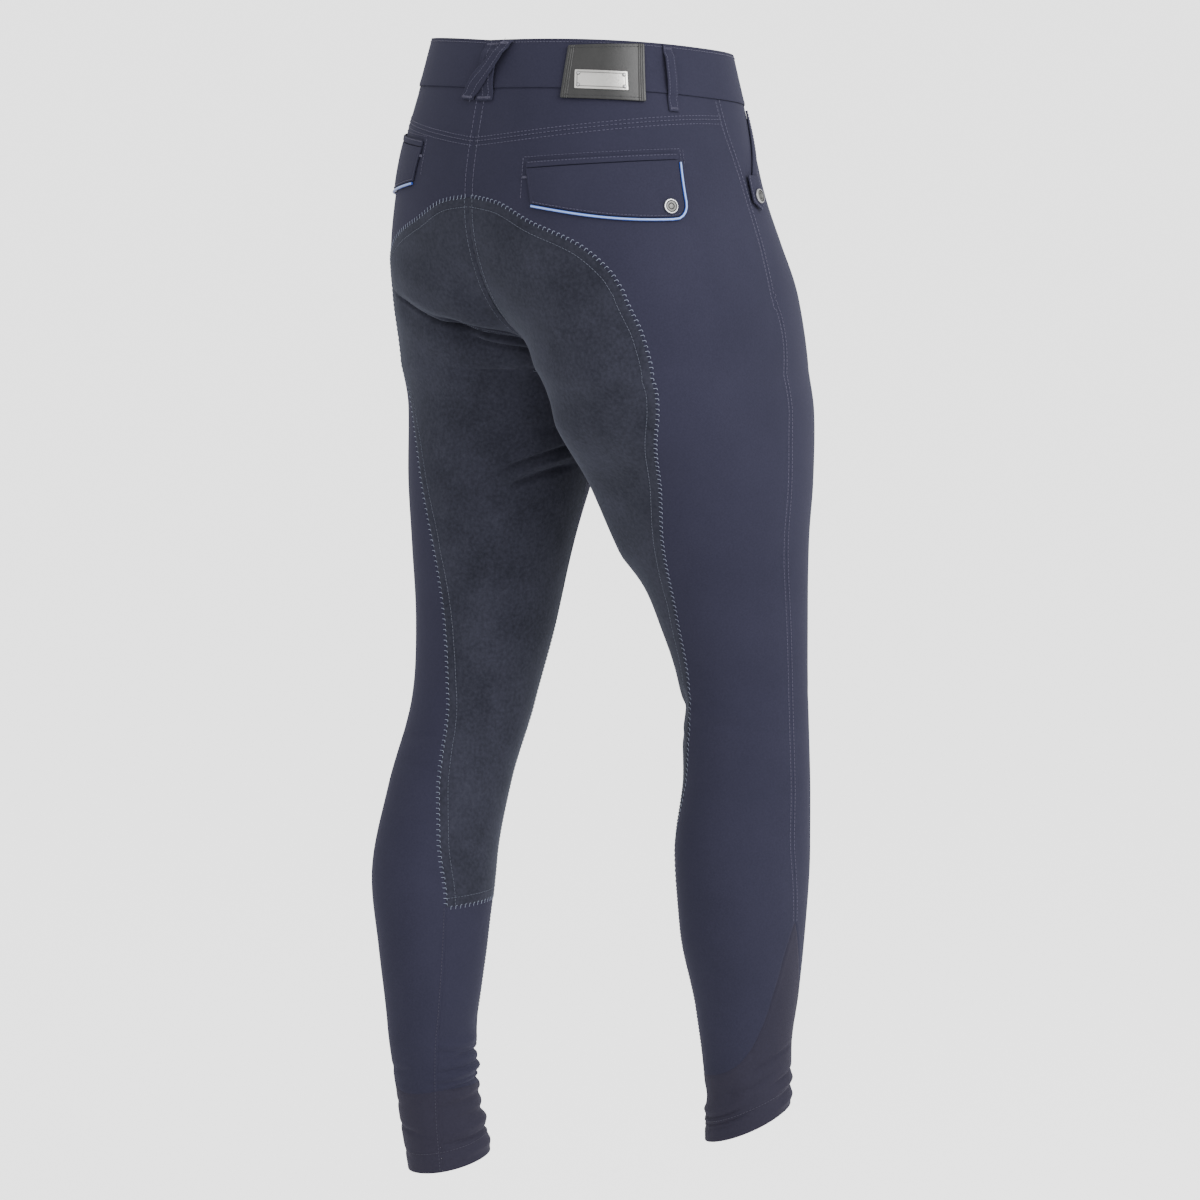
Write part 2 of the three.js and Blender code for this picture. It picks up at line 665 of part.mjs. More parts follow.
const LOOPS_AROUND = { front: 0.2, back: 0.58 };
for (const leg of ['left', 'right']) {
  for (const [where, around] of Object.entries(LOOPS_AROUND)) {
    add(`belt_loop_${where}_${leg}`, loopWall(pointOn(leg), around, around), LOOKS.cloth);
  }
}
// At the centre back one loop hangs straight and another crosses over it.
const acrossBack = pointAcross(1);
const CENTRE_LOOP_BOTTOM = 27;
const straightLoop = loopWall(acrossBack, -0.009, -0.007, { bottom: CENTRE_LOOP_BOTTOM });
const crossedLoop = loopWall(acrossBack, -0.037, 0.02, { bottom: CENTRE_LOOP_BOTTOM, lift: 2.4 });
add('belt_loop_centre', straightLoop, LOOKS.cloth);
add('belt_loop_crossed', crossedLoop, LOOKS.cloth);

// A four-sided piece given by its corners, for what is laid on one panel.
function laidPiece(pointOf, corners, cells, raised, wall = TRIM) {
  const [topLeft, topRight, bottomRight, bottomLeft] = corners;
  const edges = {
    top: straight(topLeft, topRight, cells.across),
    bottom: straight(bottomLeft, bottomRight, cells.across),
    left: straight(topLeft, bottomLeft, cells.down),
    right: straight(topRight, bottomRight, cells.down),
  };
  return wallBetween(pointOf, edges, wall, { raised, gaps: {} });
}
const rectangle = (around0, around1, at0, at1) => [
  { around: around0, at: at0 },
  { around: around1, at: at0 },
  { around: around1, at: at1 },
  { around: around0, at: at1 },
];

// The leather patch on the band, and the metal plate that four rivets hold on it.
const PATCH = { from: 0.823, to: 0.639, spreads: 0.013, top: -20, tilt: -4, bottom: 25, wall: 1.6 };
const PLATE = { from: 0.804, to: 0.685, top: 1, bottom: 17, wall: 1 };
const RIVET = { radius: 1.7, high: 0.9, inset: 0.008, insetAt: 3 };
const onRight = pointOn('right');
const plateHeight = ON_BAND + PATCH.wall + LAY_GAP;
const patchCorners = [
  { around: PATCH.from, at: PATCH.top },
  { around: PATCH.to, at: PATCH.top + PATCH.tilt },
  { around: PATCH.to + PATCH.spreads / 2, at: PATCH.bottom },
  { around: PATCH.from + PATCH.spreads, at: PATCH.bottom },
];
add(
  'leather_patch',
  laidPiece(onRight, patchCorners, { across: 9, down: 4 }, ON_BAND, PATCH.wall),
  LOOKS.leather,
);
const plateCorners = rectangle(PLATE.from, PLATE.to, PLATE.top, PLATE.bottom);
add(
  'metal_plate',
  laidPiece(onRight, plateCorners, { across: 7, down: 2 }, plateHeight, PLATE.wall),
  LOOKS.metal,
);

// A turned piece standing on the surface, from a profile of radius and height.
function turnedOn(pointOf, spot, raised, profile, segments = 16) {
  const geometry = new THREE.LatheGeometry(
    profile.map(([radius, high]) => new THREE.Vector2(radius, high)),
    segments,
  );
  const foot = pointOf(spot.around, spot.at, raised);
  const outward = pointOf(spot.around, spot.at, raised + 1).sub(foot).normalize();
  const turn = new THREE.Quaternion().setFromUnitVectors(new THREE.Vector3(0, 1, 0), outward);
  return geometry.applyQuaternion(turn).translate(foot.x, foot.y, foot.z);
}
const domeProfile = (radius, high) => [
  [0, 0],
  [radius, 0],
  [radius, high * 0.5],
  [radius * 0.7, high],
  [0, high],
];
plateCorners.forEach(({ around, at }, i) => {
  const inwards = around === PLATE.from ? -RIVET.inset : RIVET.inset;
  const down = i < 2 ? RIVET.insetAt : -RIVET.insetAt;
  const spot = { around: around + inwards, at: at + down };
  const head = plateHeight + PLATE.wall + HEAD_GAP;
  const rivet = turnedOn(onRight, spot, head, domeProfile(RIVET.radius, RIVET.high), 10);
  add(`plate_rivet_${i + 1}`, rivet, LOOKS.metal);
});

// Rear pockets: a welt, and a flap with piping round its lower edge and a snap. The stride pulls
// the right one down and the left one up. "along" runs from the centre-back end to the side end.
const REAR_POCKETS = {
  left: { start: 0.884, end: 0.572, startAt: 62, endAt: 52 },
  right: { start: 0.9, end: 0.588, startAt: 76, endAt: 65 },
};
const FLAP = { long: 135, weltDeep: 5, start: 5.5, startDeep: 31, endDeep: 50, corner: 11 };
const FLAP_CUT_IN = 6; // how much shorter the flap is along its lower edge, at the centre-back end
const PIPING = { radius: 1.3, off: 1.7, steps: 30, sides: 6 };
const SNAP = { radius: 6.5, high: 2, along: 123, down: 41.5 };
const snapProfile = [
  [0, 0],
  [SNAP.radius, 0],
  [SNAP.radius, SNAP.high * 0.6],
  [SNAP.radius * 0.85, SNAP.high],
  [SNAP.radius * 0.62, SNAP.high],
  [SNAP.radius * 0.5, SNAP.high * 0.6],
  [0, SNAP.high * 0.6],
];

function addRearPocket(leg) {
  const pocket = REAR_POCKETS[leg];
  const on = pointOn(leg);
  const spot = (along, down) => ({
    around: pocket.start + ((pocket.end - pocket.start) * along) / FLAP.long,
    at: pocket.startAt + ((pocket.endAt - pocket.startAt) * along) / FLAP.long + down,
  });
  const end = FLAP.long;
  add(
    'rear_welt_' + leg,
    laidPiece(
      on,
      [spot(0, 0), spot(end, 0), spot(end, FLAP.weltDeep), spot(0, FLAP.weltDeep)],
      { across: 12, down: 1 },
      ON_PANEL,
    ),
    LOOKS.cloth,
  );

  // The rounded corner, from the end edge (angle 0) to the lower edge (a quarter turn).
  const deepAt = (along) =>
    FLAP.startDeep + (FLAP.endDeep - FLAP.startDeep) * Math.sin((Math.PI / 2) * (along / end));
  const corner = (angle, off = 0) => {
    const radius = FLAP.corner + off;
    const middle = [end - FLAP.corner, FLAP.endDeep - FLAP.corner];
    return spot(middle[0] + radius * Math.cos(angle), middle[1] + radius * Math.sin(angle));
  };
  const quarter = Math.PI / 2;
  const lower = [
    ...spread(FLAP_CUT_IN, end - FLAP.corner, 9).map((along) => spot(along, deepAt(along))),
    corner(quarter * 0.8),
    corner(quarter * 0.5),
  ];
  const rightEdge = [
    ...spread(FLAP.start, FLAP.endDeep - FLAP.corner, 3).map((down) => spot(end, down)),
    corner(quarter * 0.25),
    corner(quarter * 0.5),
  ];
  add(
    'rear_flap_' + leg,
    wallBetween(
      on,
      {
        top: straight(spot(0, FLAP.start), spot(end, FLAP.start), lower.length - 1),
        bottom: lower,
        left: straight(spot(0, FLAP.start), lower[0], rightEdge.length - 1),
        right: rightEdge,
      },
      TRIM,
      { raised: ON_PANEL, gaps: {} },
    ),
    LOOKS.cloth,
  );

  const offEnd = spread(FLAP.start + 2, FLAP.endDeep - FLAP.corner, 3);
  const route = [
    ...offEnd.map((down) => spot(end + PIPING.off, down)),
    ...[0.3, 0.6, 0.85].map((share) => corner(quarter * share, PIPING.off)),
    ...spread(end - FLAP.corner, FLAP_CUT_IN + 1, 8).map((along) =>
      spot(along, deepAt(along) + PIPING.off),
    ),
  ];
  add('rear_piping_' + leg, pipeAlong(on, route), LOOKS.piping);
  const snap = spot(SNAP.along, SNAP.down);
  add('rear_snap_' + leg, turnedOn(on, snap, ON_PANEL + TRIM + HEAD_GAP, snapProfile), LOOKS.metal);
}

function pipeAlong(pointOf, route) {
  const lie = ON_PANEL + PIPING.radius;
  const curve = new THREE.CatmullRomCurve3(route.map(({ around, at }) => pointOf(around, at, lie)));
  const section = new THREE.Shape(
    spread(0, 2 * Math.PI, PIPING.sides)
      .slice(0, -1)
      .map((a) => new THREE.Vector2(PIPING.radius * Math.cos(a), PIPING.radius * Math.sin(a))),
  );
  return new THREE.ExtrudeGeometry(section, { steps: PIPING.steps, extrudePath: curve });
}

// Front pockets: a slanted welt from the band to the side seam, and a pointed tab with a snap.
const FRONT_WELT = [
  { around: 0.29, at: 21 },
  { around: 0.322, at: 21 },
  { around: 0.432, at: 93 },
  { around: 0.408, at: 98 },
];
const TAB = { around: 0.412, top: 79, bottom: 109, wide: 0.05, point: 7, snapAt: 97 };
function addFrontPocket(leg) {
  const on = pointOn(leg);
  const welt = laidPiece(on, FRONT_WELT, { across: 2, down: 10 }, ON_PANEL);
  add('front_welt_' + leg, welt, LOOKS.cloth);
  const side = (shift, deep = 0) =>
    straight(
      { around: TAB.around + shift, at: TAB.top },
      { around: TAB.around + shift, at: TAB.bottom - TAB.point + deep },
      4,
    );
  const left = side(-TAB.wide / 2);
  const right = side(TAB.wide / 2);
  const tip = { around: TAB.around, at: TAB.bottom };
  const edges = {
    left,
    right,
    top: straight(left[0], right[0], 4),
    bottom: [...straight(left.at(-1), tip, 2), ...straight(tip, right.at(-1), 2).slice(1)],
  };
  const raised = 2 * ON_PANEL + TRIM;
  add('front_tab_' + leg, wallBetween(on, edges, TRIM, { raised, gaps: {} }), LOOKS.cloth);
  const snap = { around: TAB.around, at: TAB.snapAt };
  const foot = raised + TRIM + HEAD_GAP;
  add('front_snap_' + leg, turnedOn(on, snap, foot, snapProfile), LOOKS.metal);
}

// The front closes with a fly piece over the centre and a tab of the waistband with a button.
const FLY = { over: -0.012, out: 0.085, top: 19, straightTo: 128, bottom: 186, lift: 0.9 };
// The lower corner of the fly, as steps in from its outer edge and down from its straight part.
const FLY_CORNER = [
  { inwards: 0.003, down: 14 },
  { inwards: 0.01, down: 27 },
  { inwards: 0.022, down: 38 },
];
const BAND_TAB = { from: -0.085, to: 0.02, half: 15, wall: 2 };
const BUTTON = { radius: 8, high: 3, side: -0.06 };
const acrossFront = pointAcross(0);
function addFly() {
  const spotAt = (around, at) => ({ around, at });
  const rows = 10;
  const curved = [
    ...spread(FLY.top, FLY.straightTo, rows - FLY_CORNER.length).map((at) => spotAt(FLY.out, at)),
    ...FLY_CORNER.map(({ inwards, down }) => spotAt(FLY.out - inwards, FLY.straightTo + down)),
  ];
  const edges = {
    top: straight(spotAt(FLY.over, FLY.top), spotAt(FLY.out, FLY.top), 5),
    left: straight(spotAt(FLY.over, FLY.top), spotAt(FLY.over, FLY.bottom), rows),
    right: curved,
    bottom: straight(spotAt(FLY.over, FLY.bottom), curved.at(-1), 5),
  };
  add('fly', wallBetween(acrossFront, edges, TRIM, { raised: FLY.lift, gaps: {} }), LOOKS.cloth);
  const [tabTop, tabBottom] = [BAND_MIDDLE - BAND_TAB.half, BAND_MIDDLE + BAND_TAB.half];
  const tab = rectangle(BAND_TAB.from, BAND_TAB.to, tabTop, tabBottom);
  add(
    'waistband_tab',
    laidPiece(acrossFront, tab, { across: 8, down: 3 }, ON_BAND, BAND_TAB.wall),
    LOOKS.cloth,
  );
  const seat = ON_BAND + BAND_TAB.wall + HEAD_GAP;
  const spot = { around: BUTTON.side, at: BAND_MIDDLE };
  const button = turnedOn(acrossFront, spot, seat, domeProfile(BUTTON.radius, BUTTON.high), 20);
  add('waist_button', button, LOOKS.metal);
}

for (const leg of ['left', 'right']) {
  addPanels(leg);
  addRearPocket(leg);
  addFrontPocket(leg);
}
addFly();

export default breeches;
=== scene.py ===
import json
import math
import re
import bpy
import numpy as np
from mathutils import Matrix, Vector

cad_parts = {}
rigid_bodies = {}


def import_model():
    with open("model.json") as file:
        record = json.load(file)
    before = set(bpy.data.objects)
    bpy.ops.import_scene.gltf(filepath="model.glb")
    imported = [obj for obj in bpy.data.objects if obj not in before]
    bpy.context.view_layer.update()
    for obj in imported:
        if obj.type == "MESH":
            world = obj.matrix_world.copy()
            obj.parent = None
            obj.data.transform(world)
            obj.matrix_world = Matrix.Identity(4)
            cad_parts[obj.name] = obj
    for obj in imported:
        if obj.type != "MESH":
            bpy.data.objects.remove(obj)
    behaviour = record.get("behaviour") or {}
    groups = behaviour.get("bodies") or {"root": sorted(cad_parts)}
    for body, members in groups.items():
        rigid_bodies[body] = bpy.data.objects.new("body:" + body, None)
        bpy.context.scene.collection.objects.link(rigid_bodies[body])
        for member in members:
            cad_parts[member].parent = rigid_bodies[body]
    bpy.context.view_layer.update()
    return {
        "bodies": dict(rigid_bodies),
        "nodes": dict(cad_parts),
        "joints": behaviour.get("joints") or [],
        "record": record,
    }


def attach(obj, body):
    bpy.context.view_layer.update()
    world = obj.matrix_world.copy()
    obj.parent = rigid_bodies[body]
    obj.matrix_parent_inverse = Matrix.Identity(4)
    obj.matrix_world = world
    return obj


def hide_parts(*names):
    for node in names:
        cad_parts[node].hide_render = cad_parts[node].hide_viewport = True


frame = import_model()
bpy.ops.object.select_all(action='DESELECT')
print("frame loaded:", len(frame["nodes"]), "nodes")

# camera, floor and lights
view = {
    "azimuth": 225, "elevation": 6, "far": 5.0,      # degrees, metres
    "aim": (0, 0, -0.483), "right": 0.0123, "up": 0.0246,
    "acrossFrame": 1.056,                            # metres that the frame covers at the aim
    "sensor": 36,                                    # millimetres
}


def setCamera(view):
    turn, lift = math.radians(view["azimuth"]), math.radians(view["elevation"])
    away = Vector((math.sin(turn) * math.cos(lift), -math.cos(turn) * math.cos(lift), math.sin(lift)))
    right = (-away).cross(Vector((0, 0, 1))).normalized()
    up = right.cross(-away)
    bpy.ops.object.camera_add()
    camera = bpy.context.object
    camera.name = "photoCamera"
    camera.matrix_world = Matrix.Translation(
        Vector(view["aim"]) + away * view["far"] + right * view["right"] + up * view["up"]
    ) @ Matrix((right, up, away)).transposed().to_4x4()
    camera.data.sensor_width = view["sensor"]
    camera.data.lens = view["sensor"] * view["far"] / view["acrossFrame"]
    bpy.context.scene.camera = camera
    return away, right, up


towards, rightwards, upwards = setCamera(view)

studio = {
    "floorAt": -1.16, "floorSize": 60, "floorTone": 0.9, "world": 1.08, "backdropGlow": 1.6,
    "lightsAim": (0, 0, -0.45),
    # name, way to the light as seen from the camera (right, up, towards), far, size, watts
    "lights": [
        ("keySoftbox", (0.75, 0.55, 0.9), 3.2, 2.2, 95),
        ("fillSoftbox", (-0.6, 0.3, 1.0), 3.4, 2.6, 12),
        ("rimSoftbox", (1.0, 0.4, -0.7), 3.0, 1.6, 3),
    ],
}


def setStudio(studio):
    bpy.ops.mesh.primitive_plane_add(size=studio["floorSize"], location=(0, 0, studio["floorAt"]))
    floor = bpy.context.object
    floor.name = "floor"
    paint = bpy.data.materials.new("floorPaper")
    paint.use_nodes = True
    shader = paint.node_tree.nodes["Principled BSDF"]
    tone, glow = studio["floorTone"], studio["backdropGlow"]
    shader.inputs["Base Color"].default_value = (tone, tone, tone, 1)
    shader.inputs["Roughness"].default_value = 1
    shader.inputs["Specular IOR Level"].default_value = 0
    shader.inputs["Emission Color"].default_value = (1, 1, 1, 1)
    # the paper glows for the camera alone, so it lights nothing
    paper = paint.node_tree
    rays = paper.nodes.new("ShaderNodeLightPath")
    seen = paper.nodes.new("ShaderNodeMath")
    seen.operation = 'MULTIPLY'
    seen.inputs[1].default_value = glow
    paper.links.new(rays.outputs["Is Camera Ray"], seen.inputs[0])
    paper.links.new(seen.outputs[0], shader.inputs["Emission Strength"])
    floor.data.materials.append(paint)
    # the sky gives the light, and is seen at the floor's own tone, so that no horizon shows
    world = bpy.data.worlds.new("studioWorld")
    world.use_nodes = True
    sky = world.node_tree
    lighting = sky.nodes["Background"]
    lighting.inputs["Color"].default_value = (1, 1, 1, 1)
    lighting.inputs["Strength"].default_value = studio["world"]
    backdrop = sky.nodes.new("ShaderNodeBackground")
    backdrop.inputs["Color"].default_value = (1, 1, 1, 1)
    backdrop.inputs["Strength"].default_value = tone * studio["world"] + glow
    rays = sky.nodes.new("ShaderNodeLightPath")
    either = sky.nodes.new("ShaderNodeMixShader")
    sky.links.new(rays.outputs["Is Camera Ray"], either.inputs[0])
    sky.links.new(lighting.outputs[0], either.inputs[1])
    sky.links.new(backdrop.outputs[0], either.inputs[2])
    sky.links.new(either.outputs[0], sky.nodes["World Output"].inputs["Surface"])
    bpy.context.scene.world = world
    for name, way, far, size, watts in studio["lights"]:
        direction = (rightwards * way[0] + upwards * way[1] + towards * way[2]).normalized()
        bpy.ops.object.light_add(type='AREA', location=Vector(studio["lightsAim"]) + direction * far)
        light = bpy.context.object
        light.name = name
        light.data.size = size
        light.data.energy = watts
        light.rotation_euler = (-direction).to_track_quat('-Z', 'Y').to_euler()


setStudio(studio)
print("camera, floor and lights are set")

# the garment's surface
# A place on the cloth has two numbers: "around", from 0 at the centre front over 0.5 at the outer
# side to 1 at the centre back, and "at", millimetres down from just under the waistband's middle.
cut = {
    "bandTop": -26, "bandBottom": 16, "bandMiddle": -5, "riseStart": 74, "crotch": 252,
    "suedeEnd": 719, "cuffPeak": 753, "cuffTop": 888, "hem": 956, "centreRowEnd": 230,
    "halfGap": 0.01, "trunkSquare": 2.45, "legSquare": 2.1, "stepAround": 0.004, "stepAt": 1.5,
    # at, half width, depth to the front, depth to the back
    "trunk": [
        (-26, 136, 100, 114), (16, 146.5, 108, 124.5), (60, 160, 114, 135), (95, 168, 120, 142),
        (140, 177, 132, 148), (190, 185, 146, 149), (252, 192, 143, 134),
    ],
    # at, slope to the back, slope outwards
    "waistSlope": [(-26, 0.1, 0.035), (16, 0.1, 0.03), (170, 0, 0)],
    # at, z, x, y, side, front, back, tip to the back, tip outwards
    "left": [
        (252, -248, 96, -9, 95.5, 110, 106, 0, 0), (290, -287, 97, -2, 91, 95, 88, 0, 0),
        (355, -353, 100, 8, 81, 80, 80, 0, 0), (408, -407, 102, 14, 72, 69, 72, 0, 0),
        (478, -478, 104, 22, 61, 62, 62, 0, 0), (549, -549, 106, 36, 54, 53, 55, 0, 0),
        (619, -619, 107, 60, 53, 48, 60, 0.04, 0), (690, -690, 108, 77, 54, 47, 62, 0.06, 0),
        (760, -760, 108, 81, 48, 43, 52, 0.08, 0), (830, -830, 109, 83, 40, 38, 41, 0.12, 0.04),
        (895, -894, 110, 76, 36, 35, 37, 0.2, 0.1), (956, -958, 109, 64, 36, 36, 37, 0.24, 0.06),
    ],
    "right": [
        (252, -248, 96, -9, 95.5, 137, 127, 0, 0), (290, -284, 101, -27, 93, 119, 125, 0, 0),
        (355, -344, 105, -46, 86, 94, 100, 0, 0), (408, -394, 108, -57, 76, 78, 88, 0, 0),
        (478, -462, 112, -72, 64, 62, 71, 0, 0), (549, -532, 115, -83, 54, 54, 60, 0, 0),
        (619, -601, 117, -83, 55, 54, 55, 0.04, 0), (690, -670, 118, -78, 58, 57, 61, 0.06, 0),
        (760, -738, 118, -78, 54, 54, 56, 0.1, 0), (830, -804, 118, -83, 44, 46, 45, 0.2, -0.06),
        (895, -863, 118, -84, 38, 38, 38, 0.3, -0.18), (956, -914, 117, -84, 38, 38, 35, 0.38, -0.25),
    ],
}


def along(rows, column, at):
    # smooth curve through one column of a table, by its first column
    table = np.array(rows, float)
    xs, ys = table[:, 0], table[:, column]
    slopes = np.diff(ys) / np.diff(xs)
    both = slopes[:-1] + slopes[1:]
    tangents = np.concatenate([slopes[:1], np.zeros(len(xs) - 2), slopes[-1:]])
    steady = slopes[:-1] * slopes[1:] > 0
    tangents[1:-1][steady] = (2 * slopes[:-1] * slopes[1:])[steady] / both[steady]
    at = np.clip(at, xs[0], xs[-1])
    i = np.clip(np.searchsorted(xs, at, side='right') - 1, 0, len(xs) - 2)
    span = xs[i + 1] - xs[i]
    t = (at - xs[i]) / span
    start = 2 * t ** 3 - 3 * t ** 2 + 1
    return (start * ys[i] + (t ** 3 - 2 * t ** 2 + t) * span * tangents[i]
            + (1 - start) * ys[i + 1] + (t ** 3 - t ** 2) * span * tangents[i + 1])


def power(value, square):
    # how an oval is squared off: 2 leaves it an ellipse
    return np.sign(value) * np.abs(value) ** (2 / square)


def bareSurface(leg, around, at):
    # the outer surface before creases, in millimetres, x outwards from the middle of the body
    around, at = np.broadcast_arrays(np.asarray(around, float), np.asarray(at, float))
    crotch = cut["crotch"]
    around = np.where(at < crotch, np.clip(around, 0, 1), around)
    below = np.maximum(at, crotch)
    z, x, y, side, front, back, tipBack, tipOut = (along(cut[leg], k, below) for k in range(1, 9))
    beta = 2 * np.pi * around
    legX = x - side * power(np.cos(beta), cut["legSquare"])
    swing = power(np.sin(beta), cut["legSquare"])
    legY = y - np.where(swing > 0, front, back) * swing
    legZ = z - tipBack * (legY - y) - tipOut * (legX - x) + below - at
    # on the trunk
    wide = along(cut["trunk"], 1, at)
    down = np.clip((at - cut["riseStart"]) / (crotch - cut["riseStart"]), 0, 1)
    free = np.pi * np.clip(around, 0, 1)
    share = np.where(at >= crotch, 1, 1 - (1 - down ** 2) ** (0.5 + np.sin(free) ** 2))
    overLeg = np.arcsin(np.clip(legX / wide, 0, 1) ** (cut["trunkSquare"] / 2))
    alpha = free + share * (np.where(around < 0.5, overLeg, np.pi - overLeg) - free)
    turn = power(np.cos(alpha), cut["trunkSquare"])
    trunkX = wide * power(np.sin(alpha), cut["trunkSquare"])
    trunkY = -np.where(turn > 0, along(cut["trunk"], 2, at), along(cut["trunk"], 3, at)) * turn
    trunkZ = -at + along(cut["waistSlope"], 1, at) * trunkY + along(cut["waistSlope"], 2, at) * trunkX
    onTrunk = np.stack([trunkX, trunkY, trunkZ], -1)
    onLeg = np.stack([legX, legY, legZ], -1)
    point = onTrunk + (onLeg - onTrunk) * share[..., None]
    point[..., 0] += cut["halfGap"]
    return point


def unit(vectors):
    return vectors / np.maximum(np.linalg.norm(vectors, axis=-1, keepdims=True), 1e-9)


def outwards(leg, around, at):
    # the way out of the cloth, from how the surface runs round and down
    around, at = np.asarray(around), np.asarray(at)
    before, after = around - cut["stepAround"], around + cut["stepAround"]
    before, after = (np.where(at < cut["crotch"], np.clip(turn, 0, 1), turn) for turn in (before, after))
    across = (bareSurface(leg, after, at) - bareSurface(leg, before, at)) / (after - before)[..., None]
    step = cut["stepAt"]
    down = (bareSurface(leg, around, at + step) - bareSurface(leg, around, at - step)) / (2 * step)
    return unit(np.cross(down, across))


# Creases and soft swells: leg, from (around, at), to (around, at), width and height in millimetres.
# Troughs have a negative height. The large ones are those that the solids have too.
creasing = {
    "perTurn": 420,                                  # millimetres round, about, for the large ones
    # at, millimetres round
    "perTurnAt": [(0, 840), (95, 980), (170, 1060), (252, 690), (355, 545), (478, 400), (619, 343),
                  (690, 355), (830, 270), (956, 240)],
    "fullTo": 0.32, "fadeOver": 0.22,                # shares of a fine crease's length from its middle
    "large": [
        ("left", 0.745, 199, 0.86, 218, 13, -5), ("left", 0.86, 218, 0.97, 223, 13, -6),
        ("left", 0.76, 162, 0.92, 188, 24, 4), ("left", 0.8, 548, 0.98, 566, 15, -2),
        ("right", 0.83, 560, 0.96, 574, 14, -4), ("right", 0.82, 300, 0.88, 415, 26, 9),
        ("left", 0.03, 232, 0.22, 200, 16, -4), ("right", 0.03, 234, 0.24, 210, 16, -5),
        ("left", 0.9, 842, 1.1, 836, 12, -2), ("left", 0.85, 905, 1.1, 900, 12, -2),
        ("right", 0.7, 908, 0.95, 912, 12, -2),
    ],
    # the sharper ones also have a bow, before the width
    "fine": [
        ("left", 0.725, 190, 0.868, 220, -3, 1.7, -4.2), ("left", 0.83, 214, 1.0, 229, -1, 1.7, -4.8),
        ("left", 0.83, 207, 0.99, 226, -1, 1.4, -2.4), ("left", 0.87, 208, 0.99, 223, 1, 1.3, -2.0),
        ("left", 0.87, 226, 1.0, 235, -1, 1.5, -2.4), ("left", 0.74, 184, 0.97, 212, -4, 8, 1.6),
        ("left", 0.88, 338, 1.0, 320, 2, 2.6, -3.6), ("left", 0.9, 352, 1.0, 338, 2, 3.2, -4.0),
        ("left", 0.89, 345, 1.0, 329, 2, 2.4, 1.4), ("left", 0.9, 303, 1.0, 310, 2, 4, -1.2),
        ("right", 0.9, 236, 0.99, 214, 3, 4, -1.2),
        ("right", 0.86, 560, 1.0, 574, 2, 4, -1.6), ("right", 0.84, 588, 0.98, 582, 2, 6, -1.1),
        ("right", 0.62, 572, 0.8, 580, 4, 5, -1.1), ("right", 0.66, 556, 0.82, 549, -3, 5, -0.9),
        ("left", 0.66, 575, 0.86, 566, -4, 5, -1.2), ("left", 0.68, 596, 0.84, 604, 3, 5, -0.9),
        ("left", 0.9, 847, 1.08, 850, -1, 2.4, 0.9), ("left", 0.9, 853, 1.12, 857, -2, 2.0, -1.5),
        ("left", 0.96, 861, 1.24, 868, 2, 2.4, -3.0), ("left", 0.88, 871, 1.2, 873, -2, 1.9, -1.5),
        ("left", 0.93, 878, 1.24, 880, 0, 3.2, 2.3), ("left", 0.88, 882, 1.2, 885, -2, 1.8, -1.6),
        ("left", 0.92, 889, 1.24, 893, 0, 2.2, -3.0), ("left", 0.92, 898, 1.16, 900, 0, 3.0, 0.9),
        ("left", 0.88, 905, 1.16, 904, 1, 2.6, -1.2), ("left", 0.96, 917, 1.24, 920, 0, 3.2, -2.4),
        ("left", 0.92, 926, 1.22, 928, 0, 3.6, 2.0), ("left", 0.88, 934, 1.2, 936, 0, 1.9, -2.1),
        ("left", 0.92, 946, 1.22, 948, 0, 3.8, 1.7),
        ("left", 0.1, 884, 0.34, 876, 2, 2.8, -1.3), ("left", 0.12, 905, 0.3, 910, -2, 3, -1.2),
        ("left", 0.5, 916, 0.78, 922, 2, 2.4, -1.3), ("left", 0.52, 872, 0.76, 866, 2, 2.6, -1.1),
        ("left", 0.5, 893, 0.7, 897, -2, 2.4, -1.0), ("left", 0.48, 938, 0.7, 942, 1, 2.6, -1.1),
        ("right", 0.66, 928, 0.94, 930, -2, 1.8, -1.8), ("right", 0.66, 922, 0.92, 924, -1, 2.4, 1.2),
        ("right", 0.64, 935, 0.94, 937, -2, 1.7, -1.6), ("right", 0.7, 942, 0.92, 943, 0, 1.8, -1.1),
        ("right", 0.26, 914, 0.52, 916, 0, 2.4, -2.0), ("right", 0.26, 925, 0.5, 926, 0, 3.4, 1.5),
        ("right", 0.26, 933, 0.5, 935, 0, 2.4, -1.7), ("right", 0.24, 944, 0.5, 946, 0, 4.2, 1.7),
        ("right", 0.42, 884, 0.62, 893, 2, 2.6, -1.2), ("right", 0.52, 902, 0.72, 909, -2, 2.8, -1.2),
        ("right", 0.08, 900, 0.26, 893, 2, 2.6, -1.2), ("right", 0.06, 920, 0.24, 926, -1.5, 2.8, -1.2),
        ("right", 0.9, 880, 1.08, 874, 2, 2.8, -1.1),
        ("left", 0.04, 238, 0.26, 204, 6, 4, -1.9), ("right", 0.04, 240, 0.28, 214, 6, 4.5, -2.2),
        ("left", 0.03, 262, 0.2, 241, 4, 5, -1.5), ("right", 0.03, 266, 0.2, 246, 5, 5, -1.7),
        ("left", 0.18, 577, 0.34, 567, 4, 6, -1.0), ("right", 0.16, 561, 0.36, 549, 4, 6, -1.1),
    ],
}


def turnFrom(around, at, around0, around1):
    # how far round a place is from a crease's start, the short way where the leg is a tube
    turn = around - around0
    return np.where(at >= cut["crotch"], turn - np.round(turn - (around1 - around0) / 2), turn)


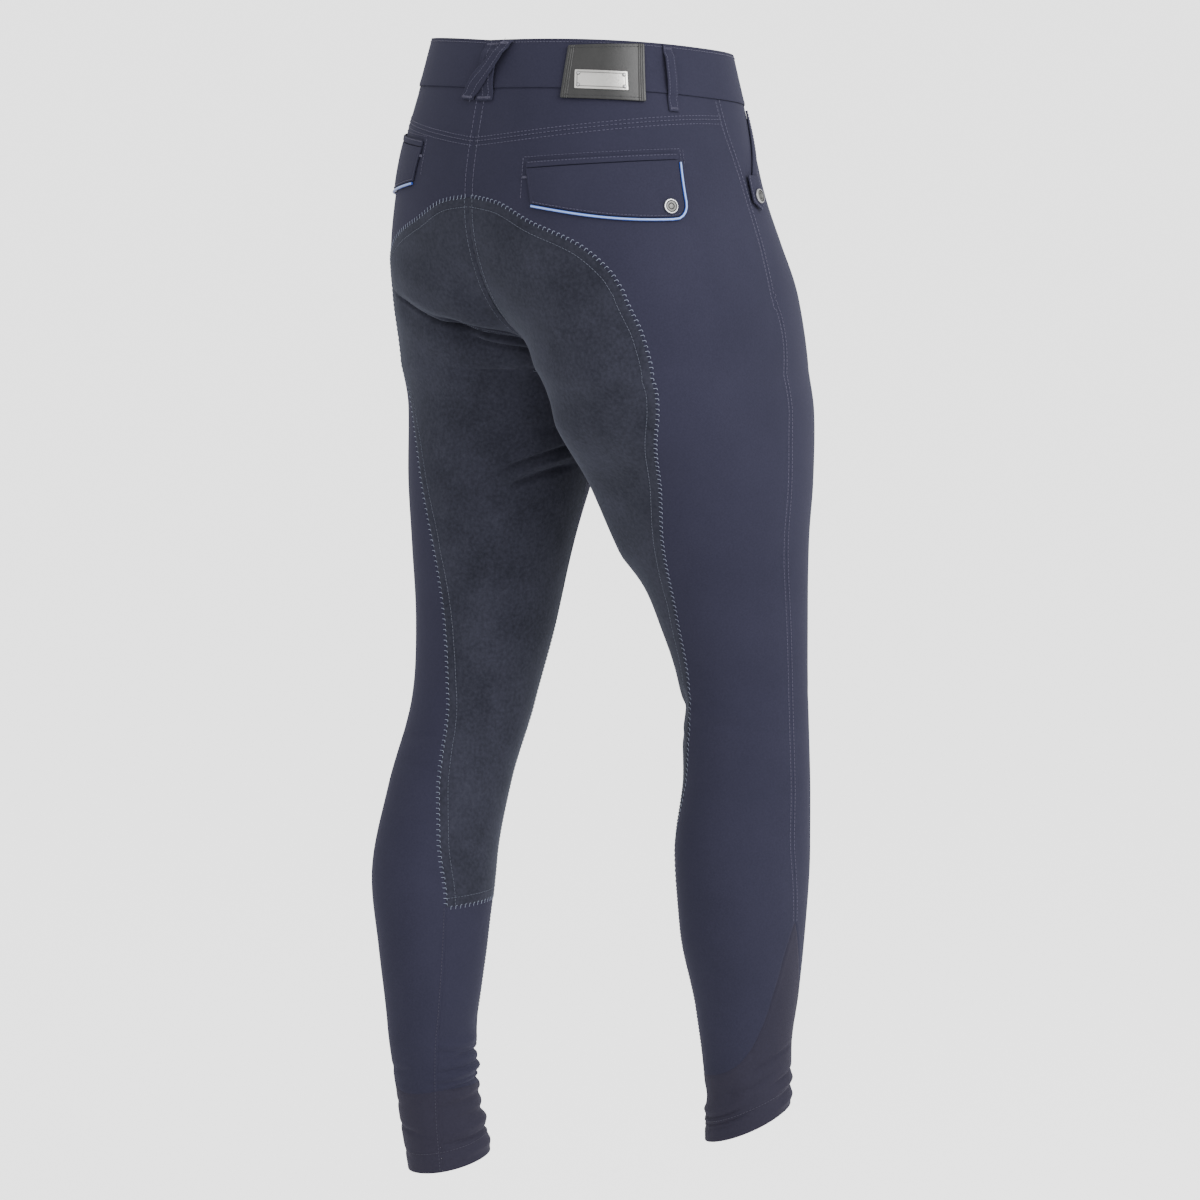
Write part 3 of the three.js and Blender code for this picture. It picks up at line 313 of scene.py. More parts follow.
def largeCreases(leg, around, at):
    height = np.zeros(np.broadcast(around, at).shape)
    for side, around0, at0, around1, at1, wide, deep in creasing["large"]:
        if side != leg:
            continue
        runX, runY = (around1 - around0) * creasing["perTurn"], at1 - at0
        x, y = turnFrom(around, at, around0, around1) * creasing["perTurn"], at - at0
        t = np.clip((x * runX + y * runY) / (runX ** 2 + runY ** 2), 0, 1)
        height += deep * np.exp(-(((x - t * runX) ** 2 + (y - t * runY) ** 2) / wide ** 2))
    return height


def fineCreases(leg, around, at):
    height = np.zeros(np.broadcast(around, at).shape)
    for side, around0, at0, around1, at1, bow, wide, deep in creasing["fine"]:
        if side != leg:
            continue
        perTurn = float(along(creasing["perTurnAt"], 1, (at0 + at1) / 2))
        if at0 < cut["crotch"]:
            perTurn = perTurn / 2                    # "around" covers one half of the trunk
        runX, runY = (around1 - around0) * perTurn, at1 - at0
        length = math.hypot(runX, runY)
        x, y = turnFrom(around, at, around0, around1) * perTurn, at - at0
        t = (x * runX + y * runY) / length ** 2
        off = (x * runY - y * runX) / length - bow * 4 * t * (1 - t)
        past = np.maximum(0, np.abs(t - 0.5) - creasing["fullTo"]) / creasing["fadeOver"]
        height += deep * np.exp(-(off / wide) ** 2 - past ** 2)
    return height


def inFrame(leg, point):
    # from millimetres outwards from the middle to metres in the part's frame
    if leg == "right":
        point = point * np.array([-1, 1, 1])
    return (point + np.array([0, 0, cut["bandMiddle"]])) / 1000


def clothPoint(leg, around, at, raised=0):
    # a point on the creased cloth, or raised above it by millimetres
    around, at = np.broadcast_arrays(np.asarray(around, float), np.asarray(at, float))
    around = np.where(at < cut["crotch"], np.clip(around, 0, 1), around)
    height = largeCreases(leg, around, at) + fineCreases(leg, around, at) + raised
    raisedBy = outwards(leg, around, at) * np.asarray(height)[..., None]
    return inFrame(leg, bareSurface(leg, around, at) + raisedBy)


def acrossSeam(centre):
    # for what crosses a centre seam: "side" counts from the seam, to the wearer's left
    def pointOf(side, at, raised=0):
        side, at = np.broadcast_arrays(np.asarray(side, float), np.asarray(at, float))
        around = np.abs(centre - np.abs(side))
        left, right = clothPoint("left", around, at, raised), clothPoint("right", around, at, raised)
        return np.where((side < 0)[..., None], right, left)
    return pointOf


def onLeg(leg):
    return lambda around, at, raised=0: clothPoint(leg, around, at, raised)


# the seams' lines on the cloth, each a list of (around, at)
seams = {
    "finer": 4,                  # cells for each cell of the solids
    "across": {"front": 12, "back": 10, "calf": 5},
    "down": {"band": 2, "yoke": 2, "toArc": 1, "arc": 8, "rise": 13, "seat": 6, "thigh": 14, "calf": 6,
             "cuff": 7},
    "turn": {"left": 0.012, "right": -0.012}, "turnOver": 90,
    "yokeAtSide": 34, "yokeAtBack": 61, "yokeBend": 1.1,
    "peakWidth": 0.085, "peakBend": 1.35, "cuffDip": {"left": 8, "right": 0}, "dipEnds": 1.3, "crowding": 1.5,
    # at, around
    "side": [(-26, 0.48), (38, 0.475), (90, 0.45), (150, 0.437), (252, 0.448), (320, 0.472),
             (450, 0.498), (670, 0.5), (760, 0.478), (956, 0.48)],
    "suedeBack": [(174, 0.684), (215, 0.648), (248, 0.639), (285, 0.656), (328, 0.688), (390, 0.725),
                  (446, 0.753), (529, 0.788), (606, 0.832), (658, 0.868), (719, 0.902), (815, 0.894),
                  (884, 0.87), (956, 0.842)],
    "inner": [(252, 0), (290, 0.036), (370, 0.076), (470, 0.11), (590, 0.133), (719, 0.135), (956, 0.105)],
    # around, at
    "suedeTop": [(0.684, 174), (0.711, 159), (0.778, 139), (0.889, 122), (0.958, 108), (1, 104)],
}


def spread(start, end, count, ease=None):
    t = np.linspace(0, 1, count + 1)
    return start + (end - start) * (t if ease is None else ease(t))


def follow(rows, levels):
    return np.column_stack([along(rows, 1, levels), levels])


def straight(start, end, count):
    return np.column_stack([spread(start[0], end[0], count), spread(start[1], end[1], count)])


def chain(*lists):
    return np.vstack([lists[0]] + [part[1:] for part in lists[1:]])


def oneTurn(path):
    return path + np.array([1, 0])


def seamsOf(leg):
    n = seams["finer"]
    across = {key: count * n for key, count in seams["across"].items()}
    down = {key: count * n for key, count in seams["down"].items()}
    crotch, riseStart = cut["crotch"], cut["riseStart"]
    yokeSide = (float(along(seams["side"], 1, seams["yokeAtSide"])), seams["yokeAtSide"])
    backRows = down["toArc"] + down["arc"] + down["seat"] + down["thigh"] + down["calf"]
    edges = {"across": across, "down": down}

    def turned(levels):
        fade = np.clip((levels - seams["suedeTop"][0][1]) / seams["turnOver"], 0, 1)
        return np.column_stack([along(seams["suedeBack"], 1, levels) + seams["turn"][leg] * fade, levels])

    def rise(start, count):
        first = math.asin((start - riseStart) / (crotch - riseStart))
        return riseStart + (crotch - riseStart) * np.sin(spread(first, math.pi / 2, count))

    arcAround = spread(1, seams["suedeTop"][0][0], down["arc"])
    edges["arcDown"] = np.column_stack([arcAround, along(seams["suedeTop"], 1, arcAround)])
    arcEnd = edges["arcDown"][-1][1]
    edges["suedeBack"] = turned(spread(arcEnd, cut["suedeEnd"], down["seat"] + down["thigh"]))
    edges["calfBack"] = turned(spread(cut["suedeEnd"], cut["cuffTop"], down["calf"]))
    edges["cuffBack"] = turned(spread(cut["cuffTop"], cut["hem"], down["cuff"]))
    edges["inner"] = follow(seams["inner"], spread(crotch, cut["suedeEnd"], down["thigh"]))
    dip = seams["cuffDip"][leg]
    edges["calfInner"] = follow(seams["inner"], spread(cut["suedeEnd"], cut["cuffTop"] + dip, down["calf"]))
    backLevels = rise(seams["suedeTop"][-1][1], down["seat"])
    edges["backRise"] = np.column_stack([np.ones_like(backLevels), backLevels])
    toYoke = spread(cut["bandBottom"], seams["yokeAtSide"], down["yoke"])
    frontRows = backRows - down["rise"] - down["thigh"] - down["calf"]
    frontLevels = np.concatenate([
        toYoke, spread(seams["yokeAtSide"], riseStart, frontRows)[1:], rise(riseStart, down["rise"])[1:]])
    edges["frontRise"] = np.column_stack([np.zeros_like(frontLevels), frontLevels])
    t = np.linspace(0, 1, across["back"] + 1)
    edges["yokeSeam"] = np.column_stack([
        yokeSide[0] + (1 - yokeSide[0]) * t,
        seams["yokeAtSide"] + (seams["yokeAtBack"] - seams["yokeAtSide"]) * t ** seams["yokeBend"]])
    peakAround = float(along(seams["side"], 1, cut["cuffPeak"]))

    def cuffEdge(around):
        far = np.abs(around - peakAround) / seams["peakWidth"]
        fall = np.exp(-far ** seams["peakBend"])
        low = cut["cuffTop"] + dip * np.clip(seams["dipEnds"] * (1 - around / peakAround), 0, 1)
        return np.column_stack([around, low - (low - cut["cuffPeak"]) * fall])

    crowd = seams["crowding"]
    edges["frontCuff"] = cuffEdge(spread(
        edges["calfInner"][-1][0], peakAround, across["front"], lambda t: 1 - (1 - t) ** crowd))
    edges["backCuff"] = cuffEdge(spread(
        peakAround, edges["calfBack"][-1][0], across["back"], lambda t: t ** crowd))
    edges["frontCuff"][0] = edges["calfInner"][-1]
    edges["backCuff"][-1] = edges["calfBack"][-1]
    edges["calfCuff"] = straight(edges["calfBack"][-1], oneTurn(edges["calfInner"])[-1], across["calf"])
    edges["suedeEnd"] = straight(edges["suedeBack"][-1], oneTurn(edges["inner"])[-1], down["arc"])
    edges["calfTop"] = straight(edges["calfBack"][0], oneTurn(edges["calfInner"])[0], across["calf"])
    edges["sideUpper"] = follow(seams["side"], toYoke)
    edges["sideLower"] = follow(seams["side"], spread(seams["yokeAtSide"], cut["cuffPeak"], backRows))
    return edges


# cloth finishes
def nodeOf(tree, kind, **values):
    node = tree.nodes.new(kind)
    for key, value in values.items():
        if key in node.inputs:
            node.inputs[key].default_value = value
        else:
            setattr(node, key, value)
    return node


def mathNode(tree, operation, *values):
    node = tree.nodes.new("ShaderNodeMath")
    node.operation = operation
    for socket, value in zip(node.inputs, values):
        if isinstance(value, bpy.types.NodeSocket):
            tree.links.new(value, socket)
        else:
            socket.default_value = value
    return node.outputs[0]


def newGroup(name, inputs, outputs):
    group = bpy.data.node_groups.new(name, "ShaderNodeTree")
    for label, kind, value in inputs:
        socket = group.interface.new_socket(name=label, in_out='INPUT', socket_type="NodeSocket" + kind)
        if value is not None:
            socket.default_value = value
    for label, kind in outputs:
        group.interface.new_socket(name=label, in_out='OUTPUT', socket_type="NodeSocket" + kind)
    return group, group.nodes.new("NodeGroupInput"), group.nodes.new("NodeGroupOutput")


def bell(tree, distance, middle, wide):
    # 1 at the middle, falling away on both sides
    off = mathNode(tree, 'DIVIDE', mathNode(tree, 'SUBTRACT', distance, middle), wide)
    squared = mathNode(tree, 'MULTIPLY', off, off)
    return mathNode(tree, 'POWER', math.e, mathNode(tree, 'MULTIPLY', squared, -1))


def colourBetween(tree, share, low, high):
    mix = nodeOf(tree, "ShaderNodeMix", data_type='RGBA')
    mix.inputs[6].default_value = (*low, 1)
    mix.inputs[7].default_value = (*high, 1)
    tree.links.new(share, mix.inputs[0])
    return mix


def relief(tree, height, strength, distance):
    bump = nodeOf(tree, "ShaderNodeBump", Strength=strength, Distance=distance)
    tree.links.new(height, bump.inputs["Height"])
    tree.links.new(bump.outputs["Normal"], tree.nodes["Principled BSDF"].inputs["Normal"])


def clothPlace(tree):
    # the piece's own map in metres, whole and as its two sockets
    uv = nodeOf(tree, "ShaderNodeUVMap", uv_map="clothUV")
    split = nodeOf(tree, "ShaderNodeSeparateXYZ")
    tree.links.new(uv.outputs["UV"], split.inputs[0])
    return uv.outputs["UV"], split.outputs


def newMaterial(name):
    material = bpy.data.materials.new(name)
    material.use_nodes = True
    return material, material.node_tree, material.node_tree.nodes["Principled BSDF"].inputs


def mottleOf(tree, slow, quick):
    mottle = nodeOf(tree, "ShaderNodeGroup", node_tree=effects["mottle"])
    mottle.inputs["Slow"].default_value = slow
    mottle.inputs["Quick"].default_value = quick
    return mottle.outputs


def weaveGroup():
    # fine diagonal ribs of a stretch twill, and quicker picks across them
    make = {"slant": 0.62, "picks": 1.3, "ribShare": 0.6}
    group, given, out = newGroup(
        "twillWeave", [("UV", "Vector", None), ("Pitch", "Float", 0.0009)], [("Height", "Float")])
    split = group.nodes.new("ShaderNodeSeparateXYZ")
    group.links.new(given.outputs["UV"], split.inputs[0])
    x, y = split.outputs[:2]
    turns = mathNode(group, 'DIVIDE', 2 * math.pi, given.outputs["Pitch"])
    diagonal = mathNode(group, 'ADD', x, mathNode(group, 'MULTIPLY', y, make["slant"]))
    rib = mathNode(group, 'SINE', mathNode(group, 'MULTIPLY', diagonal, turns))
    pick = mathNode(group, 'MULTIPLY', y, mathNode(group, 'MULTIPLY', turns, make["picks"]))
    pick = mathNode(group, 'MULTIPLY', mathNode(group, 'SINE', pick), 1 - make["ribShare"])
    mixed = mathNode(group, 'ADD', mathNode(group, 'MULTIPLY', rib, make["ribShare"]), pick)
    group.links.new(mathNode(group, 'MULTIPLY_ADD', mixed, 0.5, 0.5), out.inputs["Height"])
    return group


def mottleGroup():
    # slow and quick unevenness over object coordinates, around 0.5
    group, given, out = newGroup(
        "unevenness", [("Slow", "Float", 9.0), ("Quick", "Float", 160.0)],
        [("Slow", "Float"), ("Quick", "Float")])
    links = group.links
    place = group.nodes.new("ShaderNodeTexCoord")
    for label, detail in (("Slow", 3.0), ("Quick", 2.0)):
        noise = nodeOf(group, "ShaderNodeTexNoise", Detail=detail, Roughness=0.55)
        links.new(place.outputs["Object"], noise.inputs["Vector"])
        links.new(given.outputs[label], noise.inputs["Scale"])
        links.new(noise.outputs["Fac"], out.inputs[label])
    return group


def channelGroup():
    # a shallow channel along each row of stitches, from the distance to the edge in millimetres
    group, given, out = newGroup(
        "stitchChannel", [("Row", "Float", 3.0), ("Width", "Float", 0.8)], [("Depth", "Float")])
    distance = nodeOf(group, "ShaderNodeAttribute", attribute_name="fromEdge")
    depth = bell(group, distance.outputs["Fac"], given.outputs["Row"], given.outputs["Width"])
    group.links.new(depth, out.inputs["Depth"])
    return group


effects = {"weave": weaveGroup(), "mottle": mottleGroup(), "channel": channelGroup()}

clothFinish = {
    "mainCloth": {
        "deep": (0.0150, 0.0150, 0.0295), "light": (0.0300, 0.0292, 0.0525), "contrast": 1.3,
        "rough": 0.85, "sheen": 0.08, "sheenTint": (0.6, 0.6, 0.85), "slow": 11, "quick": 620,
        "pitch": 0.0009, "weave": 0.3, "nap": 0.35, "row": 2.5,
    },
    "suedeNap": {
        "deep": (0.0115, 0.0122, 0.0190), "light": (0.0330, 0.0338, 0.0500), "contrast": 2.2,
        "rough": 0.95, "sheen": 0.16, "sheenTint": (0.55, 0.6, 0.75), "slow": 26, "quick": 330,
        "pitch": 0.0009, "weave": 0.0, "nap": 1.3, "row": 8.0,
    },
    "cuffKnit": {
        "deep": (0.0160, 0.0147, 0.0262), "light": (0.0285, 0.0262, 0.0435), "contrast": 1.3,
        "rough": 0.8, "sheen": 0.08, "sheenTint": (0.65, 0.6, 0.8), "slow": 14, "quick": 500,
        "pitch": 0.0007, "weave": 0.25, "nap": 0.25, "row": 2.5,
    },
}


def clothMaterial(name, finish):
    material, tree, sockets = newMaterial(name)
    sockets["Roughness"].default_value = finish["rough"]
    sockets["Sheen Weight"].default_value = finish["sheen"]
    sockets["Sheen Roughness"].default_value = 0.5
    sockets["Sheen Tint"].default_value = (*finish["sheenTint"], 1)
    sockets["Specular IOR Level"].default_value = 0.15
    slow, quick = mottleOf(tree, finish["slow"], finish["quick"])
    slow, share = mathNode(tree, 'MULTIPLY', slow, 0.5), mathNode(tree, 'MULTIPLY', quick, 0.5)
    tone = mathNode(tree, 'ADD', slow, share)
    tone = mathNode(tree, 'MULTIPLY_ADD', tone, finish["contrast"], 0.5 - finish["contrast"] / 2)
    mixed = colourBetween(tree, tone, finish["deep"], finish["light"])
    tree.links.new(mixed.outputs[2], sockets["Base Color"])
    height = mathNode(tree, 'MULTIPLY', quick, finish["nap"])
    if finish["weave"]:
        weave = nodeOf(tree, "ShaderNodeGroup", node_tree=effects["weave"])
        weave.inputs["Pitch"].default_value = finish["pitch"]
        tree.links.new(clothPlace(tree)[0], weave.inputs["UV"])
        woven = mathNode(tree, 'MULTIPLY', weave.outputs["Height"], finish["weave"])
        height = mathNode(tree, 'ADD', height, woven)
    channel = nodeOf(tree, "ShaderNodeGroup", node_tree=effects["channel"])
    channel.inputs["Row"].default_value = finish["row"]
    relief(tree, mathNode(tree, 'SUBTRACT', height, channel.outputs["Depth"]), 0.5, 0.0003)
    return material


finishes = {name: clothMaterial(name, finish) for name, finish in clothFinish.items()}
print("cloth finishes are mixed")


# panels
def solidFor(name):
    # the solid that a piece stands for: rearFlapLeft is rear_flap_left
    return re.sub("([A-Z0-9])", r"_\1", name).lower()


def asPiece(piece, material, solid=None):
    piece.data.materials.clear()
    piece.data.materials.append(material)
    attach(piece, "root")
    if solid:
        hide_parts(solid)


def distanceTo(points, path):
    # distance in millimetres from each point to a path of points, all in metres
    flat = points.reshape(-1, 3)
    start, run = path[:-1], path[1:] - path[:-1]
    size = np.maximum((run ** 2).sum(-1), 1e-14)
    nearest = np.full(len(flat), 1e9)
    for a, r, s in zip(start, run, size):
        t = np.clip((flat - a) @ r / s, 0, 1)
        nearest = np.minimum(nearest, np.linalg.norm(flat - a - t[:, None] * r, axis=1))
    return nearest.reshape(points.shape[:-1]) * 1000


def coons(edges, a, b):
    # the places inside four edges (top, bottom, left, right), at shares a across and b down
    top, bottom, left, right = edges

    def sample(path, t):
        index = t * (len(path) - 1)
        return np.stack([np.interp(index, np.arange(len(path)), path[:, k]) for k in (0, 1)], -1)

    a2, b2 = a[None, :, None], b[:, None, None]
    corners = ((1 - a2) * (1 - b2) * top[0] + a2 * (1 - b2) * top[-1]
               + (1 - a2) * b2 * bottom[0] + a2 * b2 * bottom[-1])
    rows = (1 - b2) * sample(top, a)[None] + b2 * sample(bottom, a)[None]
    columns = (1 - a2) * sample(left, b)[:, None] + a2 * sample(right, b)[:, None]
    return rows + columns - corners


meshing = {
    "miss": 0.05,                                    # how far a cell may miss a crease's curve, in mm
    "leastDown": 1.15, "leastAcross": 2.2,           # the smallest cells, in mm
    "reach": 2.0, "parts": 600, "fewParts": 40,
    "beside": (1.0, 2.6), "clear": 1.3,              # the two lines beside an edge, and the room after them
}
panelMake = {
    "kept": 0.01, "edgeRoll": 0.2, "rollOver": 0.7, "puff": 0.2, "puffAt": 2.6, "puffOver": 2.0,
    "pucker": 0.09, "puckerLong": 8.5, "puckerOver": 5.5, "puckerTurn": 390, "mapTurn": 0.42,
    "smoothTo": 42, "roundOver": 50,
}
panelKinds = {
    # wall and height over the cloth in mm, finish, slot
    "band": (3.0, 1.2, "mainCloth", "main_cloth"),
    "cloth": (1.8, 0.0, "mainCloth", "main_cloth"),
    "suede": (2.0, 0.35, "suedeNap", "suede"),
    "knit": (1.6, 0.0, "cuffKnit", "cuff_knit"),
}


def creaseCells(leg, edges, size, cell, down):
    # the cell that the fine creases need, in mm, at each of many steps along one way of the panel
    parts, least = meshing["parts"], meshing["leastDown" if down else "leastAcross"]
    many, few = np.linspace(0, 1, parts + 1), np.linspace(0, 1, meshing["fewParts"] + 1)
    places = coons(edges, few, many) if down else coons(edges, many, few)
    height = fineCreases(leg, places[..., 0], places[..., 1])
    height = height if down else height.T
    curve = np.abs(np.diff(height, 2, axis=0)).max(axis=1) / (size / parts) ** 2
    need = np.sqrt(8 * meshing["miss"] / np.maximum(curve, 1e-6))
    need = np.clip(np.concatenate([need[:1], need, need[-1:]]), least, cell)
    reach = int(meshing["reach"] * parts / size) + 1
    return np.array([need[max(0, i - reach):i + reach + 1].min() for i in range(parts + 1)])


def gridLines(count, size, kept, leg, edges, down):
    # even lines, closer where creases are, with two more beside each edge, kept back at seams
    cell = creaseCells(leg, edges, size, size / count, down)
    steps = np.linspace(0, 1, len(cell))
    passed = np.concatenate([[0], np.cumsum(size / meshing["parts"] / ((cell[1:] + cell[:-1]) / 2))])
    lines = np.interp(np.linspace(0, passed[-1], math.ceil(passed[-1]) + 1), passed, steps)[1:-1]
    inner = [0] + [beside / size for beside in meshing["beside"]]
    start = [kept[0] / size + x for x in inner]
    end = [1 - kept[1] / size - x for x in inner]
    clear = meshing["clear"]
    lines = lines[(lines > start[-1] * clear) & (lines < 1 - (1 - end[-1]) * clear)]
    return np.sort(np.concatenate([start, lines, end]))


def layMap(mesh, uv):
    # the piece's own map in metres, from one pair for each point
    layer = mesh.uv_layers.new(name="clothUV")
    loops = np.empty(len(mesh.loops), dtype=np.int32)
    mesh.loops.foreach_get("vertex_index", loops)
    layer.data.foreach_set("uv", uv[loops].ravel())


def layValues(mesh, name, values):
    attribute = mesh.attributes.new(name, 'FLOAT', 'POINT')
    attribute.data.foreach_set("value", values.ravel().astype(np.float32))


def meshGrid(name, grid, uv, fromEdge):
    rows, columns = grid.shape[:2]
    index = np.arange(rows * columns).reshape(rows, columns)
    quads = np.stack([index[:-1, :-1], index[1:, :-1], index[1:, 1:], index[:-1, 1:]], -1).reshape(-1, 4)
    mesh = bpy.data.meshes.new(name)
    mesh.from_pydata(grid.reshape(-1, 3).tolist(), [], quads.tolist())
    layMap(mesh, uv.reshape(-1, 2))
    layValues(mesh, "fromEdge", fromEdge)
    mesh.update()
    return linked(name, mesh)


def linked(name, data):
    piece = bpy.data.objects.new(name, data)
    bpy.context.collection.objects.link(piece)
    return piece


def onlyActive(piece):
    bpy.ops.object.select_all(action='DESELECT')
    piece.select_set(True)
    bpy.context.view_layer.objects.active = piece


def editAll(piece, operator, **settings):
    onlyActive(piece)
    bpy.ops.object.mode_set(mode='EDIT')
    bpy.ops.mesh.select_all(action='SELECT')
    operator(**settings)
    bpy.ops.object.mode_set(mode='OBJECT')


def applied(piece, kind, **settings):
    onlyActive(piece)
    modifier = piece.modifiers.new("made", kind)
    for key, value in settings.items():
        setattr(modifier, key, value)
    bpy.ops.object.modifier_apply(modifier=modifier.name)


def thicken(piece, wall, flipped):
    if flipped:
        editAll(piece, bpy.ops.mesh.flip_normals)
    applied(piece, 'SOLIDIFY', thickness=wall / 1000, offset=-1)
    bpy.ops.object.shade_smooth_by_angle(angle=math.radians(panelMake["smoothTo"]))


def roundEdges(piece, wide, segments):
    bend = math.radians(panelMake["roundOver"])
    applied(piece, 'BEVEL', width=wide, segments=segments, limit_method='ANGLE', angle_limit=bend)


def lengthOf(points):
    return np.linalg.norm(np.diff(points, axis=0), axis=1).sum() * 1000


def fromPaths(grid, paths):
    # millimetres from each point of the grid to the nearest path, or far where there is none
    nearest = np.full(grid.shape[:2], 99.0)
    for line in paths:
        nearest = np.minimum(nearest, distanceTo(grid, line))
    return nearest


def clothPanel(name, leg, edges, kind="cloth", meets=(True, True, True, True), stitched=(), ring=False):
    # a sewn panel between four edges (top, bottom, left, right); "meets" says which ones are seams,
    # and a ring is closed where its left and right edges meet
    wall, raised, finish, slot = panelKinds[kind]
    make, name = panelMake, name + leg.capitalize()
    middle = coons(edges, np.linspace(0, 1, 9), np.array([0.5]))[0]
    column = coons(edges, np.array([0.5]), np.linspace(0, 1, 17))[:, 0]
    width, height = lengthOf(clothPoint(leg, *middle.T)), lengthOf(clothPoint(leg, *column.T))
    kept = [make["kept"] if meet else 0 for meet in meets]
    if ring:
        kept[2:] = [0, 0]
    a = gridLines(len(edges[0]) - 1, width, kept[2:], leg, edges, False)
    b = gridLines(len(edges[2]) - 1, height, kept[:2], leg, edges, True)
    places = coons(edges, a, b)
    around, at = places[..., 0], places[..., 1]
    grid = clothPoint(leg, around, at)
    fromSeam = fromPaths(grid, [clothPoint(leg, *edge.T) for edge, meet in zip(edges, meets) if meet])
    fromEdge = fromPaths(grid, [clothPoint(leg, *path.T) for path in stitched])
    # the edge rolls in at a seam, the cloth puffs up beside it, and the row puckers it
    profile = (-make["edgeRoll"] * np.exp(-(fromSeam / make["rollOver"]) ** 2)
               + make["puff"] * np.exp(-((fromSeam - make["puffAt"]) / make["puffOver"]) ** 2)
               + make["pucker"] * np.sin(2 * np.pi * (at + make["puckerTurn"] * around) / make["puckerLong"])
               * np.exp(-(fromSeam / make["puckerOver"]) ** 2))
    grid = clothPoint(leg, around, at, raised + profile)
    atCentre = ((around < 0.0005) | (around > 0.9995)) & (at < cut["crotch"] + 1)
    grid[atCentre, 0] = 0                               # the two halves meet at the centre seams
    piece = meshGrid(name, grid, np.stack([around * make["mapTurn"], -at / 1000], -1), fromEdge)
    if ring:
        editAll(piece, bpy.ops.mesh.remove_doubles, threshold=0.00005)
    thicken(piece, wall, flipped=leg == "right")
    asPiece(piece, finishes[finish], solidFor(name))


def sewPanels(leg):
    edges = seamsOf(leg)
    across, down = edges["across"], edges["down"]
    bandTop, bandBottom = cut["bandTop"], cut["bandBottom"]
    sideAround = edges["sideUpper"][0][0]

    def bandRow(at):
        return chain(straight((0, at), (sideAround, at), across["front"]),
                     straight((sideAround, at), (1, at), across["back"]))

    waist = bandRow(bandBottom)
    centre = [straight((around, bandTop), (around, bandBottom), down["band"]) for around in (0, 1)]
    side = chain(edges["sideUpper"], edges["sideLower"])
    clothPanel("waistband", leg, (bandRow(bandTop), waist, *centre), "band",
               meets=(False, True, False, False), stitched=(bandRow(bandTop),))
    clothPanel("yoke", leg,
               (waist[across["front"]:], edges["yokeSeam"], edges["sideUpper"],
                straight((1, bandBottom), (1, seams["yokeAtBack"]), down["yoke"])),
               stitched=(edges["yokeSeam"],))
    clothPanel("front", leg,
               (waist[:across["front"] + 1], edges["frontCuff"],
                chain(edges["frontRise"], edges["inner"], edges["calfInner"]), side),
               stitched=(side,))
    clothPanel("back", leg,
               (edges["yokeSeam"], edges["backCuff"], edges["sideLower"],
                chain(straight(edges["yokeSeam"][-1], edges["arcDown"][0], down["toArc"]), edges["arcDown"],
                      edges["suedeBack"], edges["calfBack"])),
               stitched=(edges["sideLower"], edges["yokeSeam"]))
    clothPanel("seatSuede", leg,
               (edges["arcDown"][::-1], edges["suedeEnd"], edges["suedeBack"],
                chain(edges["backRise"], oneTurn(edges["inner"]))),
               "suede", stitched=(edges["arcDown"], edges["suedeBack"], edges["suedeEnd"]))
    clothPanel("innerCalf", leg,
               (edges["calfTop"], edges["calfCuff"], edges["calfBack"], oneTurn(edges["calfInner"])),
               stitched=(edges["calfBack"],))
    cuffTop = chain(edges["calfCuff"], oneTurn(edges["frontCuff"]), oneTurn(edges["backCuff"]))
    seam = edges["cuffBack"]
    clothPanel("cuff", leg,
               (cuffTop, straight(seam[-1], oneTurn(seam)[-1], len(cuffTop) - 1), seam, oneTurn(seam)),
               "knit", meets=(True, False, True, True), stitched=(seam,), ring=True)
    print("panels of the", leg, "half are sewn")


for leg in ("left", "right"):
    sewPanels(leg)


# plain finishes
def plainMaterial(name, colour, rough, metal=0.0, coat=0.0, nap=0.0, scale=900.0, uneven=0.25):
    material, tree, sockets = newMaterial(name)
    sockets["Metallic"].default_value = metal
    sockets["Coat Weight"].default_value = coat
    sockets["Coat Roughness"].default_value = 0.3
    slow, quick = mottleOf(tree, scale / 8, scale)
    low, high = ([min(1, c * share) for c in colour] for share in (1 - uneven, 1 + uneven))
    tree.links.new(colourBetween(tree, slow, low, high).outputs[2], sockets["Base Color"])
    tree.links.new(mathNode(tree, 'MULTIPLY_ADD', quick, 0.2, rough - 0.1), sockets["Roughness"])
    if nap:
        relief(tree, quick, 0.6, nap)
    return material, tree, sockets


def leatherMaterial():
    # fine grain, with pressed lines up the two short sides
    make = {"lines": (0.0022, 0.0040, 0.0058), "lineWide": 0.00035, "grain": 1700.0}
    material, tree, sockets = plainMaterial("blackLeather", (0.019, 0.019, 0.019), 0.36, uneven=0.4)
    sockets["Specular IOR Level"].default_value = 0.5
    place = nodeOf(tree, "ShaderNodeTexCoord")
    grain = nodeOf(tree, "ShaderNodeTexVoronoi", Scale=make["grain"])
    tree.links.new(place.outputs["Object"], grain.inputs["Vector"])
    x = clothPlace(tree)[1][0]
    wide = patchMake["size"][0] / 1000
    fromSide = mathNode(tree, 'MINIMUM', x, mathNode(tree, 'SUBTRACT', wide, x))
    height = mathNode(tree, 'MULTIPLY', grain.outputs["Distance"], 0.35)
    for line in make["lines"]:
        pressed = mathNode(tree, 'MULTIPLY', bell(tree, fromSide, line, make["lineWide"]), 2.0)
        height = mathNode(tree, 'SUBTRACT', height, pressed)
    relief(tree, height, 0.8, 0.0002)
    return material


